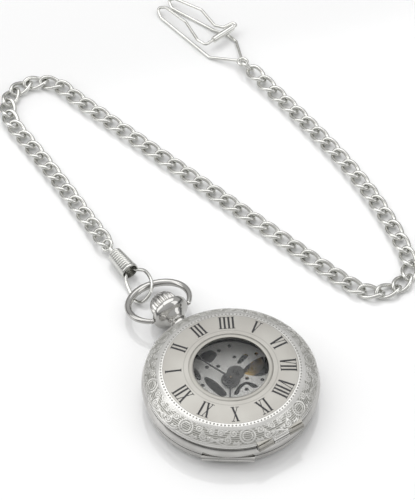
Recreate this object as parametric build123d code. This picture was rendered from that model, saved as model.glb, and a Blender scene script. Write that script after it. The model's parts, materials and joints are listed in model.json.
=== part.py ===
"""Double-cover pocket watch with a windowed front cover, a skeleton movement and a curb chain.

Millimetres.  The watch lies dial up.  The origin is the centre of the flat face of the back cover,
on the axis of the hands; +X points along the winding stem (3 o'clock), +Y at 12, +Z out of the dial.
"""
import math
import os

from build123d import *

# ---------------------------------------------------------------- driving dimensions
case_r = 23.5              # widest radius of the middle band
band_bottom = 3.4          # seam between back cover and band
band_top = 7.3             # seam between band and front cover
band_bore_r = 20.4         # inside of the band
seam_gap = 0.05            # gap at each cover's seam
cover_wall = 0.7           # sheet thickness of both covers
cover_rim_r = 23.0         # outside of both covers' rims
cover_shoulder_r = 18.7    # where the front cover's border ends and its dial ring begins
cover_shoulder_z = 11.4
cover_top_z = 12.2         # front cover beside its window
window_r = 9.9             # visible radius of the cover's window
back_flat_r = 20.6         # flat of the back cover that rests on a table
running_gap = 0.03         # radial clearance of pins and pivots
hand_gap = 0.02            # radial clearance of stacked pipes

hinge_r = 22.75            # radius from the watch's axis to a cover hinge's pin
hinge_knuckle_r = 0.85
hinge_length = 13.8
hinge_pin_r = 0.32
hinge_relief = 0.18        # room around a knuckle in the parts it passes
front_hinge_angle = 180.0  # 9 o'clock
back_hinge_angle = 144.0   # beside the front hinge, towards 12

stem_z = 5.4               # height of the winding stem
stem_r = 0.6
pendant_neck_r = 2.1
pendant_skirt_r = 5.3
pendant_end_x = 29.7       # face of the pendant's skirt
crown_r = 4.1
crown_gap = 0.3            # crown clear of the pendant when pushed home
crown_length = 5.3
crown_flutes = 22
flute_r = 0.24

bow_pivot_x = 28.8         # the bow's pivot across the pendant's skirt
bow_r = 8.3                # radius of the bow, to the middle of its wire
bow_wire_r = 0.85
bow_pin_r = 0.45
bow_pin_in = 4.2           # inner end of each pin's hole, from the stem
bow_droop = 12.5           # degrees that the bow hangs below the stem at rest

plate_r = 18.4             # main plate and movement
plate_bottom = 5.3
plate_top = 6.1
bridge_bottom = 2.1
bridge_top = 2.8
bezel_r = 19.15            # clear radius of the bezels, and seat of their crystals
pillar_r = 1.0
plate_fit = 0.05           # movement inside its ring
pivot_r = 0.16
jewel_r = 0.5

link_length = 8.0          # curb chain link, outside
link_width = 4.5
link_wire = 1.0
link_twist = 50.0          # degrees each end of a link is turned out of its plane
chain_z = 1.26             # height of the links' centres on the table

hook_wire_r = 0.5
sleeve_start_x = 48.6
sleeve_length = 8.0
sleeve_big_r = 2.4
sleeve_small_r = 1.95
clasp_z = 2.45

web_x = (52.0, 52.6)       # the sleeve's inner web, which slides on the shank
collar_x = (56.2, 56.9)    # the shank's collar, which the spring bears on

clip_wire_r = 0.45
clip_tube_u = 11.8         # the cross tube's place along the clip
clip_tube_r = 0.95
clip_heading = 8.0         # degrees from +X to the clip's long axis

# ---------------------------------------------------------------- gear train
barrel_teeth, centre_pinion = 80, 10
centre_teeth, third_pinion = 80, 10
third_teeth, fourth_pinion = 75, 10
fourth_teeth, escape_pinion = 80, 8
cannon_teeth, minute_teeth = 12, 36
minute_pinion, hour_teeth = 10, 40
stem_leaves, contrate_teeth = 10, 24
crown_wheel_teeth, ratchet_teeth = 32, 44
escape_teeth = 15

barrel_module = 0.17
centre_module = 0.13
fourth_module = 0.13
minute_module = 0.125

barrel_angle = -60.0
third_angle = 180.0
escape_angle = 78.0
balance_angle = 115.0      # from the escape wheel to the balance
minute_angle = -60.0

barrel_distance = barrel_module * (barrel_teeth + centre_pinion) / 2
third_distance = centre_module * (centre_teeth + third_pinion) / 2
third_module = 2 * third_distance / (third_teeth + fourth_pinion)
escape_distance = fourth_module * (fourth_teeth + escape_pinion) / 2
minute_distance = minute_module * (cannon_teeth + minute_teeth) / 2
hour_module = 2 * minute_distance / (minute_pinion + hour_teeth)
balance_distance = 7.1     # escape wheel to balance
pallet_distance = 3.0      # escape wheel to pallet arbor
balance_r = 4.9
escape_r = 2.35
crown_wheel_x = 12.6
contrate_r = 3.2
crown_wheel_phase = 3.0
impulse_r = 0.75           # impulse pin to balance staff


def polar(distance, angle, x=0.0, y=0.0):
    """Point at a distance and angle (degrees) from x, y."""
    return (x + distance * math.cos(math.radians(angle)), y + distance * math.sin(math.radians(angle)))


barrel_at = polar(barrel_distance, barrel_angle)
third_at = polar(third_distance, third_angle)
escape_at = polar(escape_distance, escape_angle)
balance_at = polar(balance_distance, balance_angle, *escape_at)
pallet_at = polar(pallet_distance, balance_angle, *escape_at)
minute_at = polar(minute_distance, minute_angle)
centre_at = (0.0, 0.0)
crown_wheel_at = (crown_wheel_x, 0.0)
winding_distance = math.dist(crown_wheel_at, barrel_at)
winding_angle = math.degrees(math.atan2(barrel_at[1], barrel_at[0] - crown_wheel_x))
winding_module = 2 * winding_distance / (crown_wheel_teeth + ratchet_teeth)

# floors and tops of the wheels, from the back of the watch to the dial
fourth_z = (3.0, 3.2)
escape_z = (3.55, 3.75)
third_z = (4.1, 4.3)
strap_z = (3.85, 4.12)      # upper arm of the pallet cock
balance_z = (4.25, 4.65)
roller_z = (escape_z[0], escape_z[1] + 0.05)
barrel_z = (3.4, 4.7)
great_z = (4.45, 4.7)
centre_z = (4.85, 5.1)
winding_z = (1.75, 2.05)
cannon_z = (6.2, 6.5)
hour_wheel_z = (6.75, 6.95)
chapter_z = (7.08, 7.3)
hour_hand_z = (7.15, 7.35)
minute_hand_z = (7.6, 7.75)
seconds_hand_z = (7.95, 8.05)
minute_hand_length = 15.6
hour_hand_length = 10.6
seconds_hand_length = 4.6
minute_hand_angle = 18.0   # the hands stand at about twelve minutes past ten
hour_hand_angle = 144.0
seconds_hand_angle = -69.0

os.makedirs("parts", exist_ok=True)
written = []


# ---------------------------------------------------------------- shape helpers
def disc(r, z0, z1, at=(0.0, 0.0)):
    return Pos(at[0], at[1], (z0 + z1) / 2) * Cylinder(r, z1 - z0)


def ring(r_out, r_in, z0, z1, at=(0.0, 0.0)):
    return disc(r_out, z0, z1, at) - disc(r_in, z0 - 1, z1 + 1, at)


def block(x0, x1, y0, y1, z0, z1):
    return Pos((x0 + x1) / 2, (y0 + y1) / 2, (z0 + z1) / 2) * Box(x1 - x0, y1 - y0, z1 - z0)


def rod_x(r, x0, x1, y=0.0, z=stem_z):
    return Pos((x0 + x1) / 2, y, z) * Rot(0, 90, 0) * Cylinder(r, x1 - x0)


def rod_y(r, y0, y1, x=0.0, z=0.0):
    return Pos(x, (y0 + y1) / 2, z) * Rot(90, 0, 0) * Cylinder(r, y1 - y0)


def turned_points(*points):
    """Solid of revolution about Z from points drawn in the XZ plane."""
    return revolve(make_face(Plane.XZ * Polyline(*points, close=True)), Axis.Z)


def flat(points, z0, z1):
    """Plate with a straight-sided outline."""
    return Pos(0, 0, z0) * extrude(make_face(Polyline(*points, close=True)), z1 - z0)


def wheel_outline(teeth, module, phase, tip=1.0, root=1.2, fill=0.44):
    """Outline of a toothed wheel, with a tooth centred on the angle phase."""
    pitch_r = teeth * module / 2
    tip_r = pitch_r + tip * module
    root_r = pitch_r - root * module
    step = 360 / teeth
    points = []
    for k in range(teeth):
        middle = phase + k * step
        for radius, share in ((root_r, -0.30), (tip_r, -0.11), (tip_r, 0.11), (root_r, 0.30)):
            points.append(polar(radius, middle + share * step * fill / 0.44))
    return points


def toothed(teeth, module, phase, z0, z1, at=(0.0, 0.0)):
    return Pos(at[0], at[1], 0) * flat(wheel_outline(teeth, module, phase), z0, z1)


def meshed_phase(teeth_a, phase_a, teeth_b, direction):
    """Phase that puts wheel b in mesh with wheel a, which lies the other way along direction."""
    a = (direction - phase_a) * teeth_a / 360
    return direction + 180 - (0.5 - a) * 360 / teeth_b


def crossings(r_out, r_in, arms, arm_width, z0, z1, phase=0.0):
    """Windows between the arms of a wheel, as cutters about the Z axis."""
    cut = ring(r_out, r_in, z0, z1)
    for k in range(arms):
        arm = block(0, r_out + 1, -arm_width / 2, arm_width / 2, z0, z1)
        cut -= Rot(0, 0, phase + k * 360 / arms) * arm
    return cut


def centred(shape, at):
    return Pos(at[0], at[1], 0) * shape


def wire_along(path, r):
    """Round wire along a path."""
    section = Plane(origin=path @ 0, z_dir=path % 0) * Circle(r)
    return sweep(section, path)


def save(name, shape):
    solids = shape.solids() if hasattr(shape, "solids") else [shape]
    out = solids[0] if len(solids) == 1 else Compound(children=list(solids))
    export_step(out, f"parts/{name}.step")
    written.append((name, len(solids), sum(s.volume for s in solids)))


def group(name, shapes):
    """Several separate solids in one node."""
    solids = [s for shape in shapes for s in shape.solids()]
    export_step(Compound(children=solids), f"parts/{name}.step")
    written.append((name, len(solids), sum(s.volume for s in solids)))


# ---------------------------------------------------------------- cover hinges
knuckle_gap = 0.08
middle_half = 2.35                       # half length of a hinge's middle knuckle
relief_r = hinge_knuckle_r + hinge_relief
hinge_half = hinge_length / 2


def hinge_frame(angle):
    """Placement with X pointing outwards from the watch's axis at this angle."""
    return Rot(0, 0, angle)


def knuckles(angle, z, spans):
    """Barrel pieces of a hinge, bored for its pin; spans are along the pin."""
    out = None
    for y0, y1 in spans:
        piece = rod_y(hinge_knuckle_r, y0, y1, hinge_r, z)
        out = piece if out is None else out + piece
    return hinge_frame(angle) * out


def hinge_bore(angle, z):
    return hinge_frame(angle) * rod_y(hinge_pin_r + running_gap, -hinge_half - 1, hinge_half + 1, hinge_r, z)


def relief(angle, z, y0, y1):
    """Room around a stretch of the barrel."""
    return hinge_frame(angle) * rod_y(relief_r, y0, y1, hinge_r, z)


outer_spans = ((-hinge_half, -middle_half - knuckle_gap), (middle_half + knuckle_gap, hinge_half))
middle_span = ((-middle_half, middle_half),)
front_hinge_z = band_top + seam_gap / 2
back_hinge_z = band_bottom - seam_gap / 2
leaf_near = hinge_knuckle_r - 0.2        # a leaf's nearer and farther faces, from the pin's height
leaf_far = relief_r + 0.3
leaf_reach = 1.4


def leaf(angle, z, spans, up):
    """Webs that join knuckles to the part above (up=1) or below (up=-1) the seam."""
    low, high = (leaf_near, leaf_far) if up > 0 else (-leaf_far, -leaf_near)
    out = None
    for y0, y1 in spans:
        web = block(hinge_r - leaf_reach, hinge_r - 0.1, y0, y1, z + low, z + high)
        out = web if out is None else out + web
    return hinge_frame(angle) * out


# ---------------------------------------------------------------- case
def make_case_band():
    low, high = band_bottom, band_top
    edge_r = case_r - 0.6
    outline = Plane.XZ * (
        Polyline((edge_r, high), (band_bore_r, high), (band_bore_r, low), (edge_r, low))
        + ThreePointArc((edge_r, low), (case_r, (low + high) / 2), (edge_r, high))
    )
    band = revolve(make_face(outline), Axis.Z)
    for angle, z, up in ((front_hinge_angle, front_hinge_z, -1), (back_hinge_angle, back_hinge_z, 1)):
        band -= relief(angle, z, -hinge_half - knuckle_gap, hinge_half + knuckle_gap)
        band += knuckles(angle, z, middle_span)
        band += leaf(angle, z, middle_span, up)
        band -= hinge_bore(angle, z)
    band -= rod_x(pendant_neck_r - 0.3, band_bore_r - 1, case_r + 1)
    return band


def make_pendant():
    """Turned about the stem: spigot, ringed neck, flared skirt and the tube that the crown covers."""
    tube_r = 1.35
    profile = Polyline(
        (0, band_bore_r + 0.2),
        (pendant_neck_r - 0.32, band_bore_r + 0.2),
        (pendant_neck_r - 0.32, case_r + 0.05),
        (pendant_neck_r, case_r + 0.05),
        (pendant_neck_r, 24.0),
        (pendant_neck_r - 0.3, 24.3),
        (pendant_neck_r + 0.35, 24.7),
        (pendant_neck_r - 0.1, 25.2),
        (pendant_neck_r + 0.5, 25.7),
        (3.3, 26.6),
        (4.7, 27.5),
        (pendant_skirt_r, 28.2),
        (pendant_skirt_r, pendant_end_x - 0.3),
        (pendant_skirt_r - 0.3, pendant_end_x),
        (tube_r, pendant_end_x - 0.2),
        (tube_r, 32.2),
        (0, 32.2),
        close=True,
    )
    body = revolve(make_face(profile), Axis.Y)
    body = Pos(0, 0, stem_z) * Rot(0, 0, -90) * body
    body -= rod_x(stem_r + 0.1, band_bore_r - 1, 34)
    for side in (-1, 1):
        hole = rod_y(bow_pin_r + running_gap, bow_pin_in, pendant_skirt_r + 1, bow_pivot_x, stem_z)
        body -= hole if side > 0 else mirror(hole, Plane.XZ)
    return body


def make_back_cover():
    rim = cover_rim_r
    lift = 2.3
    top = band_bottom - seam_gap
    outer = Plane.XZ * (
        Polyline((0, 0), (back_flat_r, 0))
        + ThreePointArc((back_flat_r, 0), (rim - 0.68, 0.72), (rim, lift))
        + Polyline((rim, lift), (rim, top), (rim - cover_wall, top), (rim - cover_wall, lift))
        + ThreePointArc((rim - cover_wall, lift), (rim - 1.25, 1.32), (back_flat_r, cover_wall))
        + Polyline((back_flat_r, cover_wall), (0, cover_wall), (0, 0))
    )
    cover = revolve(make_face(outer), Axis.Z)
    reach = hinge_half + knuckle_gap
    cover -= relief(back_hinge_angle, back_hinge_z, -reach, reach)
    cover += knuckles(back_hinge_angle, back_hinge_z, outer_spans)
    cover += leaf(back_hinge_angle, back_hinge_z, outer_spans, -1)
    cover -= hinge_bore(back_hinge_angle, back_hinge_z)
    lip = hinge_frame(back_hinge_angle + 180) * block(rim - 0.4, rim + 0.5, -2.0, 2.0, top - 0.7, top)
    return cover + lip


def make_front_cover():
    rim = cover_rim_r
    low = band_top + seam_gap
    bead = low + 0.8
    wall = cover_wall
    seat_r = window_r + 0.9
    outer = Plane.XZ * (
        Polyline((rim, low), (rim, bead))
        + ThreePointArc((rim, bead), (21.5, 9.75), (cover_shoulder_r, cover_shoulder_z))
        + ThreePointArc((cover_shoulder_r, cover_shoulder_z), (15.0, 11.9), (seat_r, cover_top_z))
        + Polyline((seat_r, cover_top_z), (seat_r, cover_top_z - wall))
        + ThreePointArc(
            (seat_r, cover_top_z - wall), (15.0, 11.9 - wall), (cover_shoulder_r - 0.3, cover_shoulder_z - wall)
        )
        + ThreePointArc(
            (cover_shoulder_r - 0.3, cover_shoulder_z - wall), (21.0, 9.2), (rim - wall, bead - 0.3)
        )
        + Polyline((rim - wall, bead - 0.3), (rim - wall, low), (rim, low))
    )
    cover = revolve(make_face(outer), Axis.Z)
    reach = hinge_half + knuckle_gap
    cover -= relief(front_hinge_angle, front_hinge_z, -reach, reach)
    cover += knuckles(front_hinge_angle, front_hinge_z, outer_spans)
    cover += leaf(front_hinge_angle, front_hinge_z, outer_spans, 1)
    cover -= hinge_bore(front_hinge_angle, front_hinge_z)
    return cover


def make_window_bezel():
    """Ring pressed into the cover's opening, which holds the window from above."""
    seat_r = window_r + 0.9
    return turned_points(
        (window_r, cover_top_z + 0.25),
        (window_r + 0.35, cover_top_z + 0.35),
        (seat_r + 0.35, cover_top_z + 0.05),
        (seat_r, cover_top_z),
        (seat_r, cover_top_z - 0.9),
        (window_r + 0.25, cover_top_z - 0.9),
        (window_r + 0.25, cover_top_z - 0.1),
        (window_r, cover_top_z - 0.1),
    )


def make_window_crystal():
    return disc(window_r + 0.22, cover_top_z - 0.85, cover_top_z - 0.12)


def make_hinge_pin(angle, z):
    return hinge_frame(angle) * rod_y(hinge_pin_r, -hinge_half, hinge_half, hinge_r, z)


def make_front_bezel():
    return turned_points(
        (bezel_r, band_top),
        (21.3, band_top),
        (21.3, band_top + 0.45),
        (20.4, band_top + 1.1),
        (bezel_r + 0.2, band_top + 1.45),
        (bezel_r, band_top + 1.35),
    )


def domed_glass(r, z_edge, rise, thick):
    """Crystal with a gentle dome: the space between two equal spheres, one a thickness above the other."""
    sphere_r = (r * r + rise * rise) / (2 * rise)
    low = z_edge + rise - sphere_r
    glass = disc(r, z_edge, z_edge + rise + thick + 1) & (Pos(0, 0, low + thick) * Sphere(sphere_r))
    return glass - Pos(0, 0, low) * Sphere(sphere_r)


def make_back_bezel():
    return turned_points(
        (bezel_r, band_bottom),
        (21.2, band_bottom),
        (21.2, 1.3),
        (20.6, 0.95),
        (bezel_r, 0.95),
    )


def make_case_clamps():
    """Two clamps with their screws, which hold the movement in its ring."""
    clamps = []
    for angle in (60, 240):
        clamp = disc(1.5, plate_top + 0.02, plate_top + 0.3, polar(plate_r - 0.3, angle))
        screw = disc(0.8, plate_top + 0.3, plate_top + 0.6, polar(plate_r - 1.0, angle))
        clamps += [clamp, screw]
    return clamps


def make_latch_spring():
    """Bent strip inside the band beside the stem; its nose catches the front cover."""
    r_out = band_bore_r - 0.05
    strip = ring(r_out, r_out - 0.25, plate_top + 0.35, band_top - 0.1)
    keep = block(0, 30, 3.0, 14.0, 0, 20)
    return strip & keep


# ---------------------------------------------------------------- crown and winding


def make_crown():
    """Fluted dome with a blind bore that passes over the pendant's tube."""
    shoulder_r = crown_r - 0.5
    dome = turned_points(
        (0, 0), (shoulder_r, 0), (crown_r, 0.5), (crown_r, 2.4), (shoulder_r, 3.6),
        (crown_r - 1.1, 4.2), (crown_r - 2.0, 4.8), (crown_r - 3.0, 5.15), (0, crown_length),
    )
    outline = Circle(crown_r + 0.1)
    for k in range(crown_flutes):
        outline -= Pos(*polar(crown_r + 0.02, k * 360 / crown_flutes)) * Circle(flute_r)
    body = dome & extrude(outline, crown_length + 1)
    body -= disc(1.5, -1, 2.9)
    return Pos(pendant_end_x + crown_gap, 0, 0) * along_stem(body)


stem_inner_x = 13.5
clutch_x = (13.95, 15.05)
pinion_x = (15.2, 16.2)
stem_square = 0.84


def make_winding_stem():
    """Square at its inner end, where the clutch slides, and round from there to the crown."""
    half = stem_square / 2
    x_end = pendant_end_x + crown_gap + 2.9
    stem = block(stem_inner_x, pinion_x[0], -half, half, stem_z - half, stem_z + half)
    return stem + rod_x(stem_r, pinion_x[0] - 0.05, x_end)


def along_stem(shape):
    """Turns a shape made about Z so that its axis is the stem's and +Z becomes +X."""
    return Pos(0, 0, stem_z) * Rot(0, 90, 0) * shape


def make_winding_pinion():
    contrate_module = 2 * contrate_r / contrate_teeth
    wheel = toothed(stem_leaves, contrate_module, 18.0, *pinion_x)
    return along_stem(wheel) - rod_x(stem_r + running_gap, 10, 20)


def make_sliding_clutch():
    half = stem_square / 2 + running_gap
    body = rod_x(1.15, *clutch_x) - ring_x(1.3, 0.9, clutch_x[0] + 0.4, clutch_x[0] + 0.75)
    return body - block(10, 20, -half, half, stem_z - half, stem_z + half)


def ring_x(r_out, r_in, x0, x1):
    return rod_x(r_out, x0, x1) - rod_x(r_in, x0 - 1, x1 + 1)


def make_crown_wheel():
    """Spur teeth for the ratchet wheel, and a raised ring of teeth under the winding pinion."""
    wheel = toothed(crown_wheel_teeth, winding_module, crown_wheel_phase, *winding_z)
    contrate_top = stem_z - contrate_r * stem_leaves / contrate_teeth + 0.22
    wheel += ring(contrate_r + 0.45, contrate_r - 0.45, winding_z[1], contrate_top - 0.48)
    step = 360 / contrate_teeth
    tooth = block(contrate_r - 0.45, contrate_r + 0.45, -0.17, 0.17, contrate_top - 0.6, contrate_top)
    for k in range(contrate_teeth):
        wheel += Rot(0, 0, k * step) * tooth
    return centred(wheel - disc(0.8, 0, 9), crown_wheel_at)


ratchet_phase = meshed_phase(crown_wheel_teeth, crown_wheel_phase, ratchet_teeth, winding_angle)


def make_ratchet_wheel():
    wheel = toothed(ratchet_teeth, winding_module, ratchet_phase, *winding_z)
    return centred(wheel - block(-0.6, 0.6, -0.6, 0.6, 0, 9), barrel_at)


def make_barrel_arbor():
    arbor = disc(0.55, winding_z[0] - 0.1, winding_z[1]) & block(-0.58, 0.58, -0.58, 0.58, 0, 9)
    arbor += disc(0.7, winding_z[1], barrel_z[0] + 0.25)
    arbor += disc(1.2, barrel_z[0] + 0.25, barrel_z[1] - 0.3)
    arbor += disc(0.45, barrel_z[1] - 0.3, plate_top)
    return centred(arbor, barrel_at)


click_reach = winding_module * (ratchet_teeth / 2 + 1) + 0.12


def make_click():
    """Pawl that stands over the ratchet wheel's teeth."""
    nose = polar(click_reach, -120, *barrel_at)
    pivot = polar(click_reach + 1.1, -96, *barrel_at)
    direction = math.degrees(math.atan2(pivot[1] - nose[1], pivot[0] - nose[0]))
    length = math.dist(nose, pivot)
    arm = flat([(0, -0.25), (0.1, 0.12), (length, 0.5), (length, -0.5)], *winding_z)
    arm = Pos(nose[0], nose[1], 0) * Rot(0, 0, direction) * Pos(0.2, -0.28, 0) * arm
    arm += disc(0.75, winding_z[0], winding_z[1], pivot)
    return arm - disc(0.3 + running_gap, 0, 9, pivot)


# ---------------------------------------------------------------- going train
centre_phase = 1.1
third_phase = meshed_phase(centre_teeth, centre_phase, third_pinion, third_angle)
fourth_phase = meshed_phase(third_teeth, third_phase, fourth_pinion, third_angle + 180)
escape_phase = meshed_phase(fourth_teeth, fourth_phase, escape_pinion, escape_angle)
barrel_phase = meshed_phase(centre_pinion, centre_phase, barrel_teeth, barrel_angle)
cannon_phase = 7.0
minute_phase = meshed_phase(cannon_teeth, cannon_phase, minute_teeth, minute_angle)
hour_phase = meshed_phase(minute_pinion, minute_phase, hour_teeth, minute_angle + 180)


def make_barrel():
    """Drum with the great wheel's teeth on its dial side and a lid on the other."""
    drum_r = barrel_teeth * barrel_module / 2 - 0.6
    drum = disc(drum_r, *barrel_z) + toothed(barrel_teeth, barrel_module, barrel_phase, *great_z)
    drum -= disc(drum_r - 0.35, barrel_z[0] + 0.25, barrel_z[1] - 0.3)
    drum -= disc(0.7 + running_gap, barrel_z[0] - 1, barrel_z[0] + 0.3)
    drum -= disc(0.45 + running_gap, barrel_z[1] - 0.4, barrel_z[1] + 1)
    return centred(drum, barrel_at)


def make_mainspring():
    """Coiled strip, drawn as rings joined by one web, since it lies sealed in the barrel."""
    z0, z1 = barrel_z[0] + 0.35, barrel_z[1] - 0.4
    coil = ring(5.75, 5.6, z0, z1)
    for k in range(1, 6):
        r = 5.75 - 0.45 * k
        coil += ring(r, r - 0.15, z0, z1)
    web = block(3.4, 5.65, -0.1, 0.1, z0, z1)
    return centred(coil + web, barrel_at)


def make_train_wheel(teeth, module, phase, zone, pinion_teeth, pinion_module, pinion_phase, pinion_zone,
                     arbor_zone, at, arms=5):
    wheel = toothed(teeth, module, phase, *zone)
    rim = teeth * module / 2 - 1.2 * module - 0.45
    wheel -= crossings(rim, 1.35, arms, 0.45, zone[0] - 1, zone[1] + 1)
    wheel += toothed(pinion_teeth, pinion_module, pinion_phase, *pinion_zone)
    low = min(zone[0], pinion_zone[0])
    high = max(zone[1], pinion_zone[1])
    wheel += disc(pinion_module * pinion_teeth / 2 - 1.2 * pinion_module, low, high)
    wheel += disc(pivot_r, *arbor_zone)
    return centred(wheel, at)


fourth_arbor_r = 0.14
centre_pipe_r = 0.42
cannon_pipe_r = 0.62
hour_pipe_in = 0.7
hour_pipe_r = 1.0


def make_centre_wheel():
    """Hollow-arbor wheel: pinion below, wheel above, pipe up through the main plate."""
    wheel = toothed(centre_teeth, centre_module, centre_phase, *centre_z)
    wheel -= crossings(centre_teeth * centre_module / 2 - 0.7, 1.35, 5, 0.5, 0, 9)
    wheel += toothed(centre_pinion, barrel_module, centre_phase, great_z[0] - 0.03, great_z[1] + 0.03)
    wheel += disc(0.6, great_z[0], centre_z[1])
    wheel += disc(centre_pipe_r, centre_z[1], 7.2)
    return wheel - disc(fourth_arbor_r + hand_gap + 0.04, 0, 9)


def make_cannon_pinion():
    pinion = toothed(cannon_teeth, minute_module, cannon_phase, *cannon_z)
    pinion += disc(cannon_pipe_r, cannon_z[0], minute_hand_z[0] - 0.02)
    pinion -= disc(centre_pipe_r + hand_gap, 0, 7.22)
    return pinion - disc(fourth_arbor_r + hand_gap + 0.04, 7, 9)


def make_fourth_wheel():
    return make_train_wheel(
        fourth_teeth, fourth_module, fourth_phase, fourth_z,
        fourth_pinion, third_module, fourth_phase, (third_z[0] - 0.03, third_z[1] + 0.03),
        (bridge_bottom, 3.9), centre_at,
    ) + disc(fourth_arbor_r, 3.9, seconds_hand_z[1] + 0.02)


def make_escape_wheel():
    """Fifteen hooked teeth on a light four-armed wheel, with its pinion below."""
    step = 360 / escape_teeth
    points = []
    for k in range(escape_teeth):
        base = k * step
        points += [polar(escape_r - 0.55, base), polar(escape_r, base + 5), polar(escape_r, base + 6.5)]
        points.append(polar(escape_r - 0.55, base + 9))
    wheel = flat(points, *escape_z)
    wheel -= crossings(escape_r - 0.8, 0.6, 4, 0.25, 0, 9)
    wheel += toothed(escape_pinion, fourth_module, escape_phase, fourth_z[0] - 0.03, fourth_z[1] + 0.03)
    wheel += disc(0.28, fourth_z[0], escape_z[1])
    wheel += disc(pivot_r, bridge_bottom, strap_z[1])
    return centred(wheel, escape_at)


def make_pallet_fork():
    """Anchor with two arms clear of the escape wheel and a forked lever towards the roller."""
    to_roller = balance_distance - pallet_distance
    notch = to_roller - impulse_r
    z0, z1 = escape_z
    lever = block(0, notch + 0.25, -0.13, 0.13, z0, z1)
    lever += block(notch - 0.35, notch + 0.25, -0.42, 0.42, z0, z1)
    lever -= block(notch - 0.12, notch + 1, -0.17, 0.17, z0 - 1, z1 + 1)
    for side in (-1, 1):
        lever += Rot(0, 0, 90 * side) * block(0, 1.5, -0.13, 0.13, z0, z1)
        lever += Rot(0, 0, 90 * side) * block(1.3, 1.55, -0.13, 0.2, z0, z1)
    lever += disc(0.35, z0, z1)
    lever += disc(pivot_r, bridge_bottom, strap_z[1])
    return Pos(pallet_at[0], pallet_at[1], 0) * Rot(0, 0, balance_angle) * lever


def make_balance_wheel():
    """Rim with screws, two arms, staff, and the roller with its impulse pin."""
    z0, z1 = balance_z
    wheel = ring(balance_r - 0.15, balance_r - 0.75, z0, z1)
    wheel += block(-0.3, 0.3, -balance_r + 0.5, balance_r - 0.5, z0, z1)
    wheel += disc(0.8, z0, z1)
    for k in range(12):
        wheel += Rot(0, 0, 15 + 30 * k) * block(balance_r - 0.2, balance_r, -0.2, 0.2, z0 + 0.02, z1 - 0.02)
    wheel += disc(1.05, roller_z[1] + 0.1, roller_z[1] + 0.3)
    wheel += disc(0.4, 3.2, z0)
    wheel += disc(0.12, roller_z[0], roller_z[1] + 0.15, (-impulse_r, 0))
    wheel += disc(pivot_r, bridge_bottom, plate_top)
    return Pos(balance_at[0], balance_at[1], 0) * Rot(0, 0, balance_angle) * wheel


def make_hairspring():
    """Flat coils joined by one web, on a collet around the balance staff."""
    z0, z1 = 2.95, 3.1
    coil = ring(0.65, pivot_r + running_gap, z0, z1)
    for k in range(5):
        r = 1.1 + 0.42 * k
        coil += ring(r, r - 0.08, z0, z1)
    coil += block(0.6, 2.75, -0.06, 0.06, z0, z1)
    return centred(coil, balance_at)


# ---------------------------------------------------------------- motion works and hands
def make_minute_wheel():
    wheel = toothed(minute_teeth, minute_module, minute_phase, *cannon_z)
    wheel += toothed(minute_pinion, hour_module, minute_phase, cannon_z[1], hour_wheel_z[1] + 0.03)
    return centred(wheel - disc(0.25 + running_gap, 0, 9), minute_at)


def make_hour_wheel():
    wheel = toothed(hour_teeth, hour_module, hour_phase, *hour_wheel_z)
    wheel += disc(hour_pipe_r, hour_wheel_z[0] - 0.1, hour_hand_z[1])
    return wheel - disc(hour_pipe_in, 0, 9)


def spade_hand(length, width, zone, bore_r, boss_r):
    """Slim hand with a leaf near its tip."""
    z0, z1 = zone
    leaf_at = length * 0.62
    hand = flat([(0, -width), (leaf_at, -width * 0.45), (leaf_at, width * 0.45), (0, width)], z0, z1)
    hand += flat([
        (leaf_at - 0.2, 0), (leaf_at + length * 0.07, -width * 1.9), (leaf_at + length * 0.14, -width * 1.4),
        (length, 0), (leaf_at + length * 0.14, width * 1.4), (leaf_at + length * 0.07, width * 1.9),
    ], z0, z1)
    hand += disc(boss_r, z0, z1)
    return hand - disc(bore_r, z0 - 1, z1 + 1)


def make_hour_hand():
    hand = spade_hand(hour_hand_length, 0.34, hour_hand_z, hour_pipe_r, hour_pipe_r + 0.5)
    return Rot(0, 0, hour_hand_angle) * hand


def make_minute_hand():
    hand = spade_hand(minute_hand_length, 0.3, minute_hand_z, fourth_arbor_r + hand_gap + 0.04, 1.1)
    hand += ring(0.62, fourth_arbor_r + hand_gap + 0.04, minute_hand_z[0] - 0.02, minute_hand_z[0])
    return Rot(0, 0, minute_hand_angle) * hand


def make_seconds_hand():
    z0, z1 = seconds_hand_z
    hand = flat([(-3.2, -0.16), (seconds_hand_length, -0.05), (seconds_hand_length, 0.05), (-3.2, 0.16)], z0, z1)
    hand += disc(0.5, z0, z1)
    return Rot(0, 0, seconds_hand_angle) * (hand - disc(fourth_arbor_r, 0, 9))


# ---------------------------------------------------------------- plates and bridges
jewelled = {
    "third": third_at, "escape": escape_at, "pallet": pallet_at, "balance": balance_at,
}
through_plate = ("third", "balance")     # arbors that run up to the main plate
jewel_depth = 0.3


def jewel_holes():
    return [disc(jewel_r, 0, 9, jewelled[name]) for name in through_plate]


def make_main_plate():
    """Skeleton plate: windows over the barrel, the third wheel and the balance."""
    plate = disc(plate_r, plate_bottom, plate_top)
    plate -= jewel_holes()
    plate -= disc(1.0, 0, 9)
    plate -= disc(0.45 + running_gap, 0, 9, barrel_at)
    z0, z1 = plate_bottom - 1, plate_top + 1
    plate -= crescent(barrel_at, 5.6, 2.0, 150, 330, z0, z1)
    plate -= crescent(balance_at, balance_r, 2.1, 150, 395, z0, z1)
    plate -= crescent(third_at, 4.4, 1.5, 100, 262, z0, z1)
    plate -= crescent((0, 0), 15.6, 11.6, 196, 222, z0, z1)
    plate -= crescent((0, 0), 15.6, 8.6, 22, 66, z0, z1)
    plate -= block(stem_inner_x - 0.1, plate_r + 1, -1.85, 1.85, z0, plate_top + 1)
    plate += disc(0.8 - running_gap, winding_z[0], plate_bottom, crown_wheel_at)
    plate += disc(0.25, plate_top, cannon_z[1] + 0.5, minute_at)
    for at in pillar_points:
        plate += disc(pillar_r, bridge_top, plate_bottom, at)
    return plate


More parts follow.
